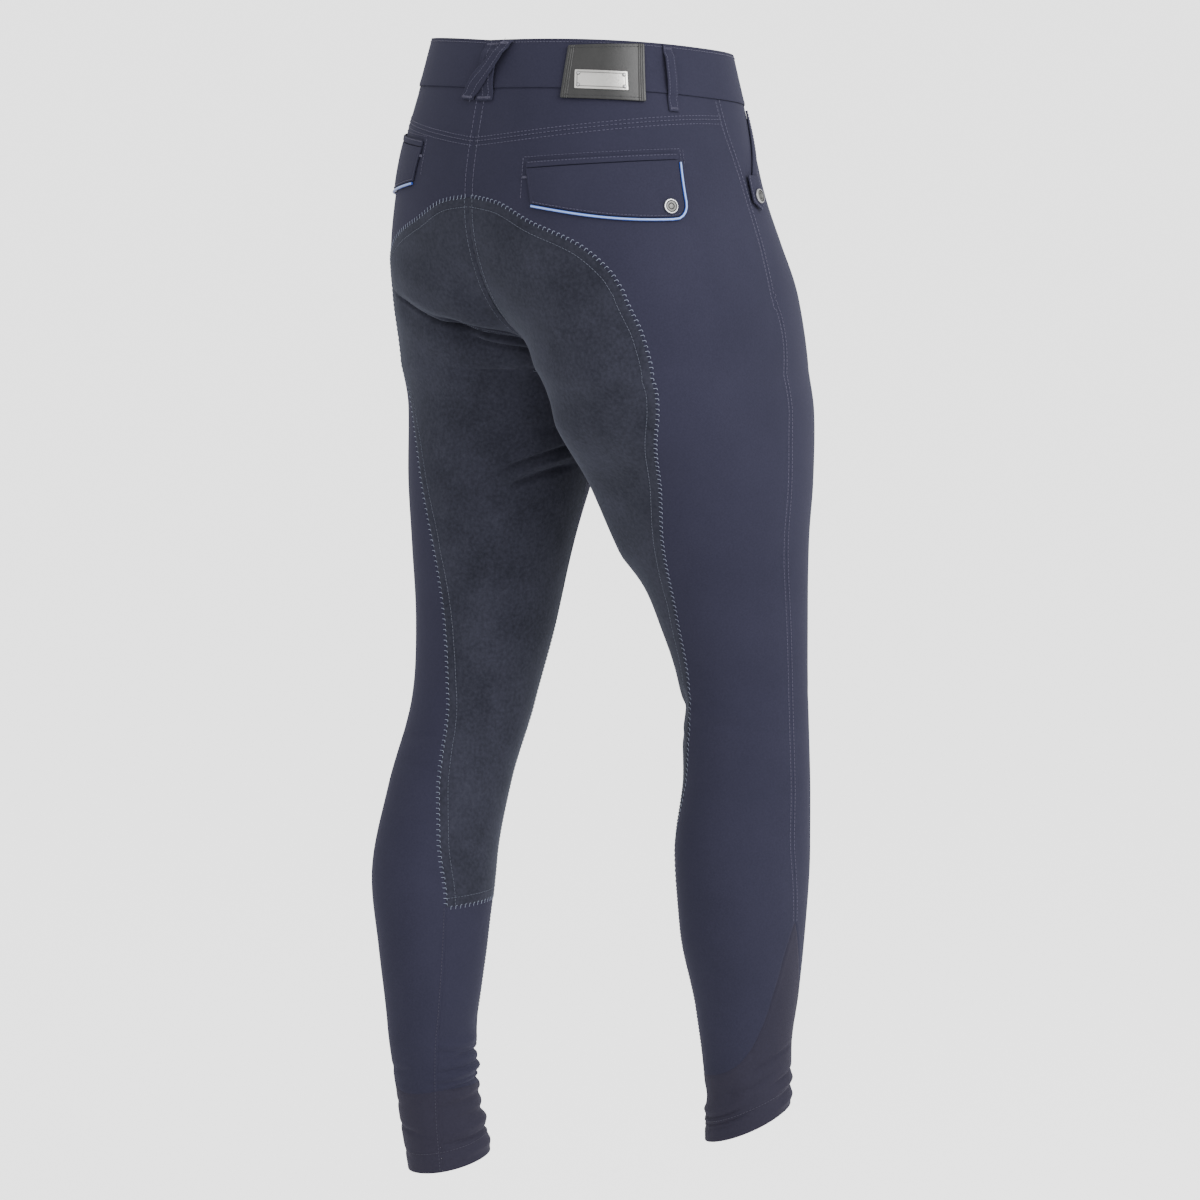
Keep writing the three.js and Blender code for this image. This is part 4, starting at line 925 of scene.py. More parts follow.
def pipingMaterial():
    # a lacquered cord with a painted highlight: pale along its outward crest, deep blue down its sides
    make = {"side": (0.005, 0.042, 0.34), "paintedHighlight": (0.34, 0.50, 0.88), "sharp": 4.0}
    material, tree, sockets = plainMaterial(
        "bluePiping", make["side"], 0.35, coat=0.4, nap=0.00006, uneven=0.12)
    # the painted highlight's mask, laid on the skin with the piping
    paintedHighlight = nodeOf(tree, "ShaderNodeAttribute", attribute_name="paintedHighlight")
    share = mathNode(tree, 'POWER', paintedHighlight.outputs["Fac"], make["sharp"])
    mixed = colourBetween(tree, share, make["side"], make["paintedHighlight"])
    tree.links.new(mixed.outputs[2], sockets["Base Color"])
    return material


def plateMaterial():
    # brushed steel with one plain engraved line along its border; the line's dark colour is painted shade
    make = {"line": 0.0021, "lineWide": 0.00036, "lineShade": (0.10, 0.10, 0.10), "brush": (60, 4000, 1)}
    material, tree, sockets = plainMaterial(
        "bareSteel", (0.62, 0.61, 0.59), 0.3, metal=1.0, scale=500, uneven=0.06)
    place, split = clothPlace(tree)
    sides = [mathNode(tree, 'MINIMUM', split[k], mathNode(tree, 'SUBTRACT', size / 1000, split[k]))
             for k, size in enumerate(plateMake["size"])]
    line = bell(tree, mathNode(tree, 'MINIMUM', *sides), make["line"], make["lineWide"])
    stretch = nodeOf(tree, "ShaderNodeMapping", Scale=make["brush"])
    tree.links.new(place, stretch.inputs["Vector"])
    brushed = nodeOf(tree, "ShaderNodeTexNoise", Scale=1.0, Detail=3.0)
    tree.links.new(stretch.outputs[0], brushed.inputs["Vector"])
    relief(tree, mathNode(tree, 'SUBTRACT', brushed.outputs["Fac"], line), 0.4, 0.0001)
    steel = sockets["Base Color"].links[0].from_socket
    # the engraved line is a real groove in the bump, and its dark colour is painted shade
    paintedLineShade = colourBetween(tree, line, make["lineShade"], make["lineShade"])
    tree.links.new(steel, paintedLineShade.inputs[6])
    tree.links.new(paintedLineShade.outputs[2], sockets["Base Color"])
    return material


# patch and plate on the band, in millimetres; corners are (around, at)
patchMake = {
    "size": (68.8, 47), "wall": 1.6, "cornerRound": 1.5, "edgeRound": 0.5, "cell": (4.5, 7.5),
    "corners": [(0.823, -20), (0.639, -24), (0.6455, 25), (0.836, 25)],
    "rows": (2.6, 44.4), "rowIn": 0.02,
}
plateMake = {
    "size": (44.8, 16), "wall": 1.0, "cornerRound": 0.8, "edgeRound": 0.25, "cell": (4.0, 6.0),
    "corners": [(0.804, 1), (0.685, 1), (0.685, 17), (0.804, 17)],
    "rivetIn": (0.008, 3), "sunk": 0.05,
}
plainFinish = {
    # colour, roughness, then what differs from a plain thread
    "navyThread": ((0.078, 0.074, 0.120), 0.6, {"uneven": 0.2}),
    "suedeThread": ((0.085, 0.095, 0.130), 0.6, {"uneven": 0.2}),
    "paleThread": ((0.20, 0.225, 0.30), 0.6, {"uneven": 0.25}),
    "darkThread": ((0.03, 0.03, 0.034), 0.6, {"uneven": 0.15}),
    "cuffThread": ((0.040, 0.037, 0.060), 0.6, {"uneven": 0.2}),
    "snapSteel": ((0.50, 0.50, 0.51), 0.36, {"metal": 1.0, "scale": 1200, "uneven": 0.1}),
    "dullSteel": ((0.17, 0.17, 0.165), 0.5, {"metal": 1.0, "nap": 0.0001, "scale": 1600, "uneven": 0.3}),
    "darkSteel": ((0.025, 0.025, 0.028), 0.6, {"metal": 0.6, "scale": 1200, "uneven": 0.2}),
}
for name, (colour, rough, rest) in plainFinish.items():
    finishes[name] = plainMaterial(name, colour, rough, **rest)[0]
finishes["bluePiping"] = pipingMaterial()
finishes["blackLeather"] = leatherMaterial()
finishes["bareSteel"] = plateMaterial()
print("plain finishes are mixed")

# cloth that lies on the panels
trim = {
    "onPanel": 0.5, "onBand": 1.7, "wall": 1.4, "cell": 2.2, "round": 0.45, "leastCells": 4,
    "smoothTo": 50, "slabSmoothTo": 40, "leastFlat": 10.5,
}


def laidCloth(name, solid, pointOf, edges, raised, wall=trim["wall"], crown=0.0):
    # a small piece of cloth on a panel, between four edges, thickened and with its edges rounded off
    edges = tuple(np.array(edge, float) for edge in edges)
    heightAt = raised if callable(raised) else (lambda around, at: raised)
    rough = coons(edges, np.linspace(0, 1, 9), np.linspace(0, 1, 9))
    points = pointOf(rough[..., 0], rough[..., 1])
    width, height = lengthOf(points[4]), lengthOf(points[:, 4])
    a, b = (np.linspace(0, 1, max(trim["leastCells"], round(size / trim["cell"])) + 1)
            for size in (width, height))
    places = coons(edges, a, b)
    around, at = places[..., 0], places[..., 1]
    bulge = crown * (1 - (2 * a[None, :] - 1) ** 4) * (1 - (2 * b[:, None] - 1) ** 4)
    grid = pointOf(around, at, heightAt(around, at) + wall + bulge)
    rim = fromPaths(grid, [pointOf(*path.T, heightAt(*path.T) + wall) for path in edges])
    uv = np.stack([a[None, :] * width + 0 * b[:, None], -b[:, None] * height + 0 * a[None, :]], -1) / 1000
    piece = meshGrid(name, grid, uv, rim)
    middle = tuple(np.array(grid.shape[:2]) // 2)
    outward = (pointOf(around, at, 5.0) - pointOf(around, at, 0.0))[middle]
    facing = np.array(piece.data.polygons[len(piece.data.polygons) // 2].normal)
    thicken(piece, wall, flipped=facing @ outward < 0)
    roundEdges(piece, trim["round"] / 1000, 2)
    bpy.ops.object.shade_smooth_by_angle(angle=math.radians(trim["smoothTo"]))
    asPiece(piece, finishes["mainCloth"], solid)


# belt loops, which leave the band between their sewn ends
beltLoops = {
    "wide": 0.024, "top": -25, "bottom": 31, "centreBottom": 27, "ramp": 3, "front": 0.2, "back": 0.58,
    # where the two at the centre back start and end, and how far the second is lifted over the first
    "centre": (-0.009, -0.007, 0), "crossed": (-0.037, 0.02, 2.4),
    # at, height
    "rise": [(-25, 1.7), (-19, 1.8), (-13, 4.4), (4, 4.4), (12, 3.4), (17, 2), (21, 0.5), (33, 0.5)],
    "rows": 3.3, "tackIn": (3.5, 2.5), "tackLong": 0.8,
}


def loopHeight(at, bottom, lift):
    ends = np.minimum(1, np.minimum(at - beltLoops["top"], bottom - at) / beltLoops["ramp"])
    return along(beltLoops["rise"], 1, at) + lift * np.maximum(0, ends)


def sewLoop(name, pointOf, topAround, bottomAround, lift=0, bottom=beltLoops["bottom"]):
    top, half = beltLoops["top"], beltLoops["wide"] / 2
    left, right = (straight((topAround + out, top), (bottomAround + out, bottom), 12)
                   for out in (-half, half))
    laidCloth(name, solidFor(name), pointOf,
              (chain(left[:1], right[:1]), chain(left[-1:], right[-1:]), left, right),
              lambda around, at: loopHeight(at, bottom, lift))

    def onLoop(places):
        return loopHeight(places[:, 1], bottom, lift) + trim["wall"]

    centre = straight((topAround, top), (bottomAround, bottom), 24)
    for off in (-beltLoops["rows"], beltLoops["rows"]):
        sewRow("pockets", "loop", pointOf, centre, off, onLoop)
    for at in (top + beltLoops["tackIn"][0], bottom - beltLoops["tackIn"][1]):
        middle = topAround + (bottomAround - topAround) * (at - top) / (bottom - top)
        long = half * beltLoops["tackLong"]
        sewRow("pockets", "tack", pointOf, straight((middle - long, at), (middle + long, at), 6), 0, onLoop)


# rear pockets: a welt, and a flap with piping and a snap. "along" runs from the centre-back end
rearPocket = {
    "left": {"start": 0.884, "end": 0.572, "startAt": 62, "endAt": 52},
    "right": {"start": 0.9, "end": 0.588, "startAt": 76, "endAt": 65},
    "long": 135, "weltDeep": 5, "flapStart": 5.5, "startDeep": 31, "endDeep": 50, "corner": 11, "cutIn": 6,
    "piping": 1.3, "pipingOff": 1.7, "snapAlong": 123, "snapDown": 41.5,
    # rows of stitches: the frame's distances, how far in the others lie, and the tack
    "frameOut": 3.5, "frameTop": -3.6, "frameEnds": (3.4, 6.4), "frameLow": 9,
    "weltRow": 1.2, "flapRow": 1.6, "sideRow": 1.8, "tack": (-2.8, 2.2, 12), "proud": 0.3,
}


def sewRearPocket(leg):
    make, pocket, on, tail = rearPocket, rearPocket[leg], onLeg(leg), leg.capitalize()
    end, corner, welt, flapStart = make["long"], make["corner"], make["weltDeep"], make["flapStart"]
    turnAt = make["endDeep"] - corner

    def spots(alongs, downs):
        alongs, downs = np.broadcast_arrays(np.asarray(alongs, float), np.asarray(downs, float))
        t = alongs / end
        return np.column_stack([pocket["start"] + (pocket["end"] - pocket["start"]) * t,
                                pocket["startAt"] + (pocket["endAt"] - pocket["startAt"]) * t + downs])

    def lowerSpots(alongs, off=0.0):
        deep = make["startDeep"] + (make["endDeep"] - make["startDeep"]) * np.sin(np.pi / 2 * alongs / end)
        return spots(alongs, deep + off)

    def cornerSpots(shares, off=0.0):
        angles = np.pi / 2 * np.asarray(shares, float)
        return spots(end - corner + (corner + off) * np.cos(angles), turnAt + (corner + off) * np.sin(angles))

    weltTop = spots(spread(0, end, 40), 0)
    laidCloth("rearWelt" + tail, "rear_welt_" + leg, on,
              (weltTop, spots(spread(0, end, 40), welt),
               spots([0, 0], [0, welt]), spots([end, end], [0, welt])),
              trim["onPanel"], crown=0.5)
    inner, out = make["cutIn"], make["pipingOff"]
    lower = chain(lowerSpots(spread(inner, end - corner, 36)), cornerSpots([1, 0.8, 0.65, 0.5]))
    side = chain(spots(end, spread(flapStart, turnAt, 12)), cornerSpots([0, 0.12, 0.25, 0.37, 0.5]))
    topEdge = spots(spread(0, end, len(lower) - 1), flapStart)
    laidCloth("rearFlap" + tail, "rear_flap_" + leg, on,
              (topEdge, lower, straight(topEdge[0], lower[0], len(side) - 1), side),
              trim["onPanel"], crown=0.35)
    layPiping("rearPiping" + tail, on, np.vstack([
        spots(end + out, spread(flapStart + 2, turnAt, 8)), cornerSpots([0.2, 0.4, 0.6, 0.8], out),
        lowerSpots(spread(end - corner, inner + 1, 40), out)]))
    turnPiece("rearSnap" + tail, "snap", on, spots(make["snapAlong"], make["snapDown"])[0],
              trim["onPanel"] + trim["wall"] + turned["clear"])
    # stitches: a frame round the welt, a row along the flap, and a tack at its inner end
    frame, frameTop = make["frameOut"], make["frameTop"]
    top = trim["onPanel"] + trim["wall"] + make["proud"]
    for path in (spots(spread(-frame, end + 4, 40), frameTop),
                 spots(-frame, spread(frameTop, make["startDeep"] - 3, 12)),
                 *(spots(end + past, spread(frameTop, make["frameLow"], 6)) for past in make["frameEnds"])):
        sewRow("pockets", "fine", on, path, 0, 0.1)
    for path, off in ((weltTop, make["weltRow"]), (lower, -make["flapRow"]), (side[:12], -make["sideRow"])):
        sewRow("pockets", "fine", on, path, off, top)
    tackFrom, tackTo, tackDown = make["tack"]
    sewRow("pockets", "tack", on, spots(spread(tackFrom, tackTo, 4), tackDown), 0, 2 * trim["onPanel"])


def layPiping(name, pointOf, route):
    lie = trim["onPanel"] + rearPocket["piping"]
    points = pointOf(*route.T, lie)
    curve = bpy.data.curves.new(name, 'CURVE')
    curve.dimensions = '3D'
    curve.bevel_depth = rearPocket["piping"] / 1000
    curve.bevel_resolution = 3
    curve.use_fill_caps = True
    line = curve.splines.new('POLY')
    line.points.add(len(points) - 1)
    line.points.foreach_set("co", np.column_stack([points, np.ones(len(points))]).ravel())
    onlyActive(linked(name, curve))
    bpy.ops.object.convert(target='MESH')
    piece = bpy.context.object
    bpy.ops.object.shade_smooth()
    # how far each point of the skin lies out from the cloth, 0 to 1, kept as the mask of the painted
    # highlight
    skin = np.empty(len(piece.data.vertices) * 3)
    piece.data.vertices.foreach_get("co", skin)
    skin = skin.reshape(-1, 3)
    nearest = np.linalg.norm(skin[:, None] - points[None], axis=2).argmin(1)
    outward = unit(pointOf(*route.T, lie + 1) - points)[nearest]
    paintedHighlight = ((skin - points[nearest]) * outward).sum(1) * 1000 / rearPocket["piping"]
    layValues(piece.data, "paintedHighlight", np.clip(paintedHighlight, 0, 1))
    asPiece(piece, finishes["bluePiping"], solidFor(name))


# turned metal pieces
turned = {
    # radius and height in mm, ring by ring
    "snap": [(6.3, 0), (6.5, 0.5), (6.5, 1.2), (6.1, 1.9), (5.3, 2.0), (4.9, 1.5), (4.5, 1.5), (4.3, 1.85),
             (3.0, 1.9), (2.7, 1.5), (2.2, 1.5), (2.0, 1.85), (0.7, 2.0)],
    "rivet": [(1.7, 0), (1.7, 0.35), (1.3, 0.75), (0.6, 0.9)],
    "button": [(7.6, 0), (8.0, 0.6), (8.0, 1.6), (7.4, 2.6), (6.2, 2.9), (5.6, 2.3), (2.4, 2.2), (1.2, 2.6)],
    # the finish of the rings that aren't bright, each from one ring to the next
    "finish": {"snap": {"darkSteel": (4, 5, 9), "dullSteel": (6, 7, 8, 10, 11, 12)},
               "rivet": {"darkSteel": (1,), "dullSteel": ()},
               "button": {"darkSteel": (5,), "dullSteel": (6, 7)}},
    "clear": 0.1, "smoothTo": 38,
}


def turnPiece(name, kind, pointOf, spot, raised, sides=32):
    rings = turned[kind]
    bpy.ops.object.select_all(action='DESELECT')
    bpy.ops.mesh.primitive_circle_add(
        vertices=sides, radius=rings[0][0] / 1000, fill_type='NGON', location=(0, 0, 0))
    piece = bpy.context.object
    piece.name = name
    bpy.ops.object.mode_set(mode='EDIT')
    bpy.ops.mesh.select_all(action='SELECT')
    for (fromRadius, fromHigh), (radius, high) in zip(rings[:-1], rings[1:]):
        bpy.ops.mesh.extrude_region_move(TRANSFORM_OT_translate={"value": (0, 0, (high - fromHigh) / 1000)})
        share = radius / fromRadius
        bpy.ops.transform.resize(value=(share, share, 1))
    bpy.ops.object.mode_set(mode='OBJECT')
    editAll(piece, bpy.ops.mesh.normals_make_consistent, inside=False)
    asPiece(piece, finishes["snapSteel"], solidFor(name))
    centres = [(math.hypot(face.center.x, face.center.y) * 1000, face) for face in piece.data.polygons]
    for index, (finish, spans) in enumerate(turned["finish"][kind].items(), 1):
        piece.data.materials.append(finishes[finish])
        for ring in spans:
            outer = rings[ring][0]
            inner = rings[ring + 1][0] if ring + 1 < len(rings) else -1
            for radius, face in centres:
                if inner < radius < outer and face.center.z > 0:
                    face.material_index = index
    foot = Vector(pointOf(spot[0], spot[1], raised))
    outward = (Vector(pointOf(spot[0], spot[1], raised + 1)) - foot).normalized()
    onlyActive(piece)
    piece.matrix_world = Matrix.Translation(foot) @ outward.to_track_quat('Z', 'Y').to_matrix().to_4x4()
    bpy.ops.object.transform_apply(location=True, rotation=True, scale=True)
    bpy.ops.object.shade_smooth_by_angle(angle=math.radians(turned["smoothTo"]))


def slab(name, make, pointOf, raised):
    # a flat slab with rounded corners, cut across so that it can bend, then wrapped over the cloth
    width, height = make["size"]
    bpy.ops.object.select_all(action='DESELECT')
    bpy.ops.mesh.primitive_plane_add(size=1, location=(0, 0, 0))
    piece = bpy.context.object
    piece.name = name
    bpy.ops.object.mode_set(mode='EDIT')
    bpy.ops.mesh.select_all(action='SELECT')
    bpy.ops.transform.resize(value=(width, height, 1))
    bpy.ops.transform.translate(value=(width / 2, height / 2, 0))
    bpy.ops.mesh.bevel(offset=make["cornerRound"], segments=4, affect='VERTICES')
    for axis, (size, step) in enumerate(zip(make["size"], make["cell"])):
        for cutAt in spread(0, size, round(size / step))[1:-1]:
            bpy.ops.mesh.select_all(action='SELECT')
            where, way = [0.0, 0.0, 0.0], [0.0, 0.0, 0.0]
            where[axis], way[axis] = float(cutAt), 1.0
            bpy.ops.mesh.bisect(plane_co=where, plane_no=way)
    bpy.ops.object.mode_set(mode='OBJECT')
    applied(piece, 'SOLIDIFY', thickness=make["wall"], offset=1)
    roundEdges(piece, make["edgeRound"], 3)
    mesh = piece.data
    flat = np.empty(len(mesh.vertices) * 3)
    mesh.vertices.foreach_get("co", flat)
    flat = flat.reshape(-1, 3)
    u, v = flat[:, :1] / width, flat[:, 1:2] / height
    corner = np.array(make["corners"], float)
    place = ((1 - u) * (1 - v) * corner[0] + u * (1 - v) * corner[1]
             + u * v * corner[2] + (1 - u) * v * corner[3])
    mesh.vertices.foreach_set("co", pointOf(*place.T, raised + flat[:, 2]).ravel())
    layMap(mesh, flat[:, :2] / 1000)
    mesh.update()
    editAll(piece, bpy.ops.mesh.normals_make_consistent, inside=False)
    bpy.ops.object.shade_smooth_by_angle(angle=math.radians(trim["slabSmoothTo"]))
    return piece


def fixPatch():
    on = onLeg("right")
    foot = trim["onBand"] + patchMake["wall"]
    patch = slab("leatherPatch", patchMake, on, trim["onBand"])
    asPiece(patch, finishes["blackLeather"], "leather_patch")
    plateFoot = foot + plateMake["sunk"]
    plate = slab("metalPlate", plateMake, on, plateFoot)
    asPiece(plate, finishes["bareSteel"], "metal_plate")
    corner = np.array(plateMake["corners"], float)
    for i, spot in enumerate(corner):
        inwards = np.sign(corner.mean(0) - spot) * np.array(plateMake["rivetIn"])
        turnPiece("plateRivet" + str(i + 1), "rivet", on, spot + inwards,
                  plateFoot + plateMake["wall"] - plateMake["sunk"], sides=16)
    top, inset = np.array(patchMake["corners"], float), patchMake["rowIn"]
    for share in np.array(patchMake["rows"]) / patchMake["size"][1]:
        left, right = top[0] + (top[3] - top[0]) * share, top[1] + (top[2] - top[1]) * share
        row = straight(left * (1 - inset) + right * inset, left * inset + right * (1 - inset), 20)
        sewRow("patch", "hem", on, row, 0, foot)


# front pockets, fly and closure
frontPocket = {
    "welt": [(0.29, 21), (0.322, 21), (0.432, 93), (0.408, 98)],
    "tabAround": 0.412, "tabTop": 79, "tabBottom": 109, "tabWide": 0.05, "tabPoint": 7, "snapAt": 97,
    "weltRow": 2.0, "tabRow": 1.4,
}


def sewFrontPocket(leg):
    make, on, tail = frontPocket, onLeg(leg), leg.capitalize()
    corner = make["welt"]
    left, right = straight(corner[0], corner[3], 30), straight(corner[1], corner[2], 30)
    laidCloth("frontWelt" + tail, "front_welt_" + leg, on,
              (straight(corner[0], corner[1], 2), straight(corner[3], corner[2], 2), left, right),
              trim["onPanel"], crown=0.4)
    sewRow("pockets", "fine", on, left, make["weltRow"], trim["onPanel"] + trim["wall"] + 0.2)
    half, low = make["tabWide"] / 2, make["tabBottom"] - make["tabPoint"]
    sideA, sideB = (straight((make["tabAround"] + out, make["tabTop"]), (make["tabAround"] + out, low), 8)
                    for out in (-half, half))
    tip = (make["tabAround"], make["tabBottom"])
    raised = 2 * trim["onPanel"] + trim["wall"]
    lower = chain(straight(sideA[-1], tip, 5), straight(tip, sideB[-1], 5))
    laidCloth("frontTab" + tail, "front_tab_" + leg, on,
              (straight(sideA[0], sideB[0], 10), lower, sideA, sideB), raised)
    for path, way in ((sideA, 1), (sideB, -1), (lower, -1)):
        sewRow("pockets", "tab", on, path, way * make["tabRow"], raised + trim["wall"])
    turnPiece("frontSnap" + tail, "snap", on, (make["tabAround"], make["snapAt"]),
              raised + trim["wall"] + turned["clear"])


closure = {
    "over": -0.012, "out": 0.085, "top": 19, "straightTo": 128, "bottom": 186, "lift": 0.9,
    # inwards, down from the straight part
    "corner": [(0.003, 14), (0.01, 27), (0.022, 38)],
    "rows": (-1.5, -8.0),
    "tabFrom": -0.085, "tabTo": 0.02, "tabHalf": 15, "tabWall": 2, "tabRow": 1.8, "buttonSide": -0.06,
}


def sewFly():
    make, on = closure, acrossSeam(0)
    curved = np.array([(make["out"], at) for at in spread(make["top"], make["straightTo"], 7)]
                      + [(make["out"] - i, make["straightTo"] + d) for i, d in make["corner"]])
    left = straight((make["over"], make["top"]), (make["over"], make["bottom"]), len(curved) - 1)
    laidCloth("flyPiece", "fly", on,
              (straight(left[0], curved[0], 5), straight(left[-1], curved[-1], 5), left, curved),
              make["lift"])
    top = make["lift"] + trim["wall"]
    for off in make["rows"]:
        sewRow("pockets", "fine", on, curved, off, top)
    start, end, middle = make["tabFrom"], make["tabTo"], cut["bandMiddle"]
    high, low = middle - make["tabHalf"], middle + make["tabHalf"]
    tabEdges = (straight((start, high), (end, high), 8), straight((start, low), (end, low), 8),
                straight((start, high), (start, low), 4), straight((end, high), (end, low), 4))
    laidCloth("waistbandTab", "waistband_tab", on, tabEdges, trim["onBand"], wall=make["tabWall"])
    onTab = trim["onBand"] + make["tabWall"]
    for edge, way in zip(tabEdges, (1, -1, 1, -1)):
        sewRow("pockets", "fine", on, edge, way * make["tabRow"], onTab)
    turnPiece("waistButton", "button", on, (make["buttonSide"], middle), onTab + turned["clear"])


# stitches
sewing = {
    "thick": {"seams": 0.28, "suede": 0.24, "ticks": 0.27, "pockets": 0.24, "patch": 0.24, "cuffs": 0.24},
    "finish": {"seams": "navyThread", "suede": "suedeThread", "ticks": "paleThread", "pockets": "navyThread",
               "patch": "darkThread", "cuffs": "cuffThread"},
    # from stitch to stitch and a stitch's length in mm, and its shape
    "kinds": {
        "seam": (3.4, 2.4, "straight"), "yoke": (3.7, 2.2, "straight"), "fine": (3.2, 2.2, "straight"),
        "hem": (3.0, 2.1, "straight"), "wide": (4.2, 2.9, "straight"), "tab": (2.8, 1.9, "straight"),
        "loop": (2.6, 1.8, "straight"), "tack": (0.75, 2.0, "cross"), "edging": (4.7, 3.1, "blanket"),
    },
    # each shape as a line of points: along the row, across it (in stitch lengths), and up in mm
    "straight": [(-0.5, 0, -0.3), (-0.36, 0, 0.12), (0.36, 0, 0.12), (0.5, 0, -0.3)],
    "cross": [(0, -0.5, -0.3), (0, -0.36, 0.14), (0, 0.36, 0.14), (0, 0.5, -0.3)],
    "blanket": [(0, -0.52, -0.3), (0.02, -0.36, 0.12), (0.1, 0.34, 0.16), (0.3, 0.5, 0.14),
                (0.72, 0.46, -0.3)],
    "smoothTo": 60,
}
sewnRows = {key: [] for key in sewing["finish"]}


def shiftedPath(pointOf, path, off, height):
    # the path moved sideways by "off" mm; positive is to a larger "around", or down for a level path
    if not off:
        return path
    here = pointOf(*path.T, height)
    slopes = []
    for step in ((0.003, 0.0), (0.0, 1.0)):
        ahead, behind = pointOf(*(path + step).T, height), pointOf(*(path - step).T, height)
        slopes.append((ahead - behind) / (2 * sum(step)))
    tangent = unit(np.gradient(here, axis=0))
    outward = unit(pointOf(*path.T, height + 1) - here)
    side = np.cross(outward, tangent)
    rows = [np.stack([(slope * way).sum(-1) for slope in slopes], -1) for way in (side, tangent)]
    wanted = np.broadcast_to(np.array([1e-3, 0.0]), (len(path), 2))[..., None]
    move = np.linalg.solve(np.stack(rows, -2), wanted)[..., 0]
    first = path[min(1, len(path) - 1)] - path[0]
    upright = abs(first[1]) > abs(first[0]) * creasing["perTurn"]
    sign = np.sign(move[0][0] if upright else move[0][1])
    return path + move * off * sign


def sewRow(group, kind, pointOf, path, off, height):
    pitch, long, shape = sewing["kinds"][kind]
    heightAt = height if callable(height) else (lambda places: np.full(len(places), float(height)))
    shares = np.linspace(0, len(path) - 1, max(80, 4 * len(path)))
    dense = np.column_stack([np.interp(shares, np.arange(len(path)), path[:, k]) for k in (0, 1)])
    dense = shiftedPath(pointOf, dense, off, heightAt(dense))
    points = pointOf(*dense.T, heightAt(dense))
    length = np.concatenate([[0], np.cumsum(np.linalg.norm(np.diff(points, axis=0), axis=1))]) * 1000
    count = int(length[-1] / pitch)
    if count < 1:
        return
    at = (length[-1] - count * pitch) / 2 + pitch * (np.arange(count) + 0.5)
    places = np.column_stack([np.interp(at, length, dense[:, k]) for k in (0, 1)])
    heights = heightAt(places)
    centre = pointOf(*places.T, heights)
    ahead, behind = (np.stack([np.interp(at + step, length, points[:, k]) for k in range(3)], -1)
                     for step in (0.8, -0.8))
    tangent = unit(ahead - behind)
    outward = unit(pointOf(*places.T, heights + 1) - centre)
    side = unit(np.cross(outward, tangent))
    sewnRows[group].append((centre, tangent, side, outward, shape, long))


def threadMesh(group):
    # every stitch of a group as a four-sided tube along its line of points, in one mesh
    vertices, faces, start = [], [], 0
    thick = sewing["thick"][group] / 1000
    for centre, tangent, side, outward, shape, long in sewnRows[group]:
        line = np.array(sewing[shape], float) * np.array([long, long, 1]) / 1000
        rings = []
        ways = np.gradient(line, axis=0)
        for (a, b, c), (da, db, dc) in zip(line, ways):
            spot = centre + tangent * a + side * b + outward * c
            run = unit(tangent * da + side * db + outward * dc)
            flat = unit(np.cross(outward, run))
            lift = np.cross(run, flat)
            rings.append(np.stack([spot + way * thick for way in (flat, lift, -flat, -lift)], 1))
        block = np.stack(rings, 1)                      # stitch, ring, corner, xyz
        count, ringCount = block.shape[:2]
        vertices.append(block.reshape(-1, 3))
        index = start + np.arange(count * ringCount * 4).reshape(count, ringCount, 4)
        turnedIndex = np.roll(index, -1, axis=2)
        walls = np.stack([index[:, :-1], turnedIndex[:, :-1], turnedIndex[:, 1:], index[:, 1:]], -1)
        faces += walls.reshape(-1, 4).tolist()
        faces += index[:, 0, ::-1].tolist() + index[:, -1].tolist()
        start += count * ringCount * 4
    mesh = bpy.data.meshes.new("stitches" + group.capitalize())
    mesh.from_pydata(np.vstack(vertices).tolist(), [], faces)
    piece = linked(mesh.name, mesh)
    editAll(piece, bpy.ops.mesh.normals_make_consistent, inside=False)
    bpy.ops.object.shade_smooth_by_angle(angle=math.radians(sewing["smoothTo"]))
    asPiece(piece, finishes[sewing["finish"][group]])
    print("stitches of the", group + ":", sum(len(row[0]) for row in sewnRows[group]))


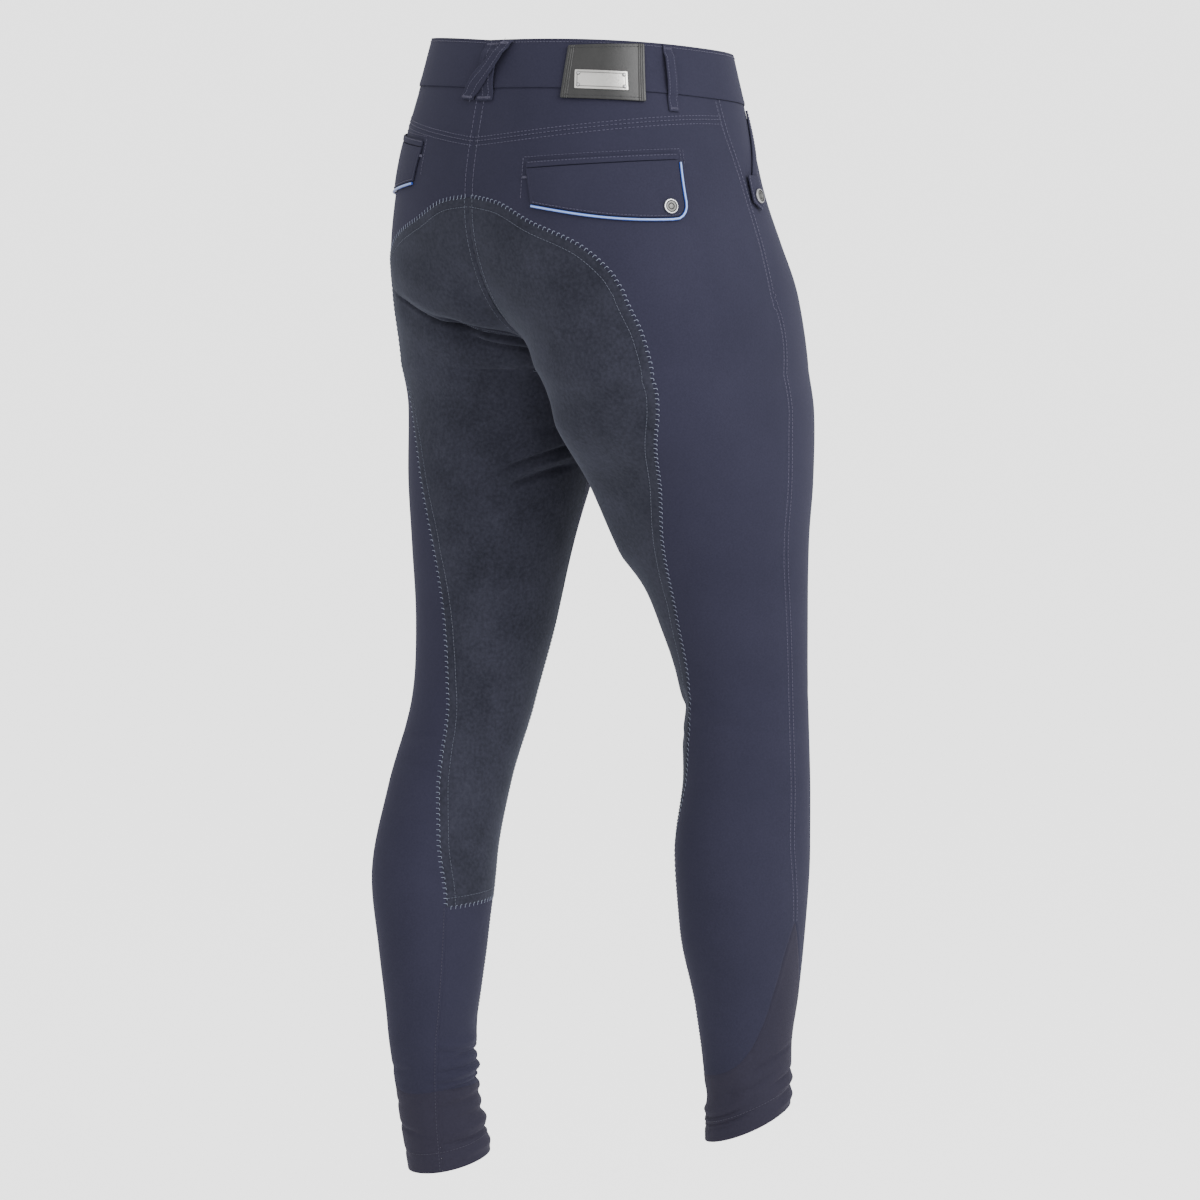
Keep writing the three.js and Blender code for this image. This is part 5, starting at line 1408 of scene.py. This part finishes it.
def sewSeams(leg):
    edges = seamsOf(leg)
    bandBottom, hem, cuffSide = cut["bandBottom"], cut["hem"], edges["cuffBack"][-1][0]
    arcAndEdge = chain(edges["arcDown"], edges["suedeBack"])
    sideSeam = chain(edges["sideUpper"], edges["sideLower"])
    centreBack = straight((1, bandBottom + 2), (1, edges["arcDown"][0][1]), 20)
    centreFront = straight((0, bandBottom + 2), (0, cut["centreRowEnd"]), 40)
    cuffHem = straight((cuffSide, hem), (cuffSide + 1, hem), 60)
    bandTop = straight((0, cut["bandTop"]), (1, cut["bandTop"]), 80)
    for group, kind, path, height, offs in (
            ("seams", "yoke", edges["yokeSeam"], 0.15, (-4.2, -0.9, 3.0)),
            ("seams", "seam", sideSeam, 0.15, (-2.6, 2.6)),
            ("seams", "wide", centreBack, 0.15, (-2.4,)),
            ("suede", "wide", edges["backRise"], 0.5, (-2.4,)),
            ("ticks", "edging", arcAndEdge, 0.35, (-0.9,)),
            ("suede", "fine", arcAndEdge, 0.5, (8.0,)),
            ("ticks", "edging", edges["suedeEnd"], 0.35, (0.9,)),
            ("suede", "fine", edges["suedeEnd"], 0.5, (-8.0,)),
            ("suede", "seam", oneTurn(edges["inner"]), 0.5, (-2.6,)),
            ("seams", "seam", edges["inner"], 0.15, (2.6,)),
            ("cuffs", "fine", edges["calfBack"], 0.15, (-2.2,)),
            ("cuffs", "fine", oneTurn(edges["calfInner"]), 0.15, (-2.2,)),
            ("cuffs", "fine", edges["cuffBack"], 0.15, (-2.2,)),
            ("cuffs", "hem", cuffHem, 0.05, (-9.0,)),
            ("seams", "fine", bandTop, 1.35, (2.6,)),
            ("seams", "seam", centreFront, 0.15, (2.4,))):
        for off in offs:
            sewRow(group, kind, onLeg(leg), path, off, height)


for leg in ("left", "right"):
    sewSeams(leg)
    sewRearPocket(leg)
    sewFrontPocket(leg)
    for where in ("Front", "Back"):
        around = beltLoops[where.lower()]
        sewLoop("beltLoop" + where + leg.capitalize(), onLeg(leg), around, around)
for where in ("Centre", "Crossed"):
    sewLoop("beltLoop" + where, acrossSeam(1), *beltLoops[where.lower()], bottom=beltLoops["centreBottom"])
fixPatch()
sewFly()
print("pockets, loops, patch and closure are on")
for group in sewnRows:
    threadMesh(group)
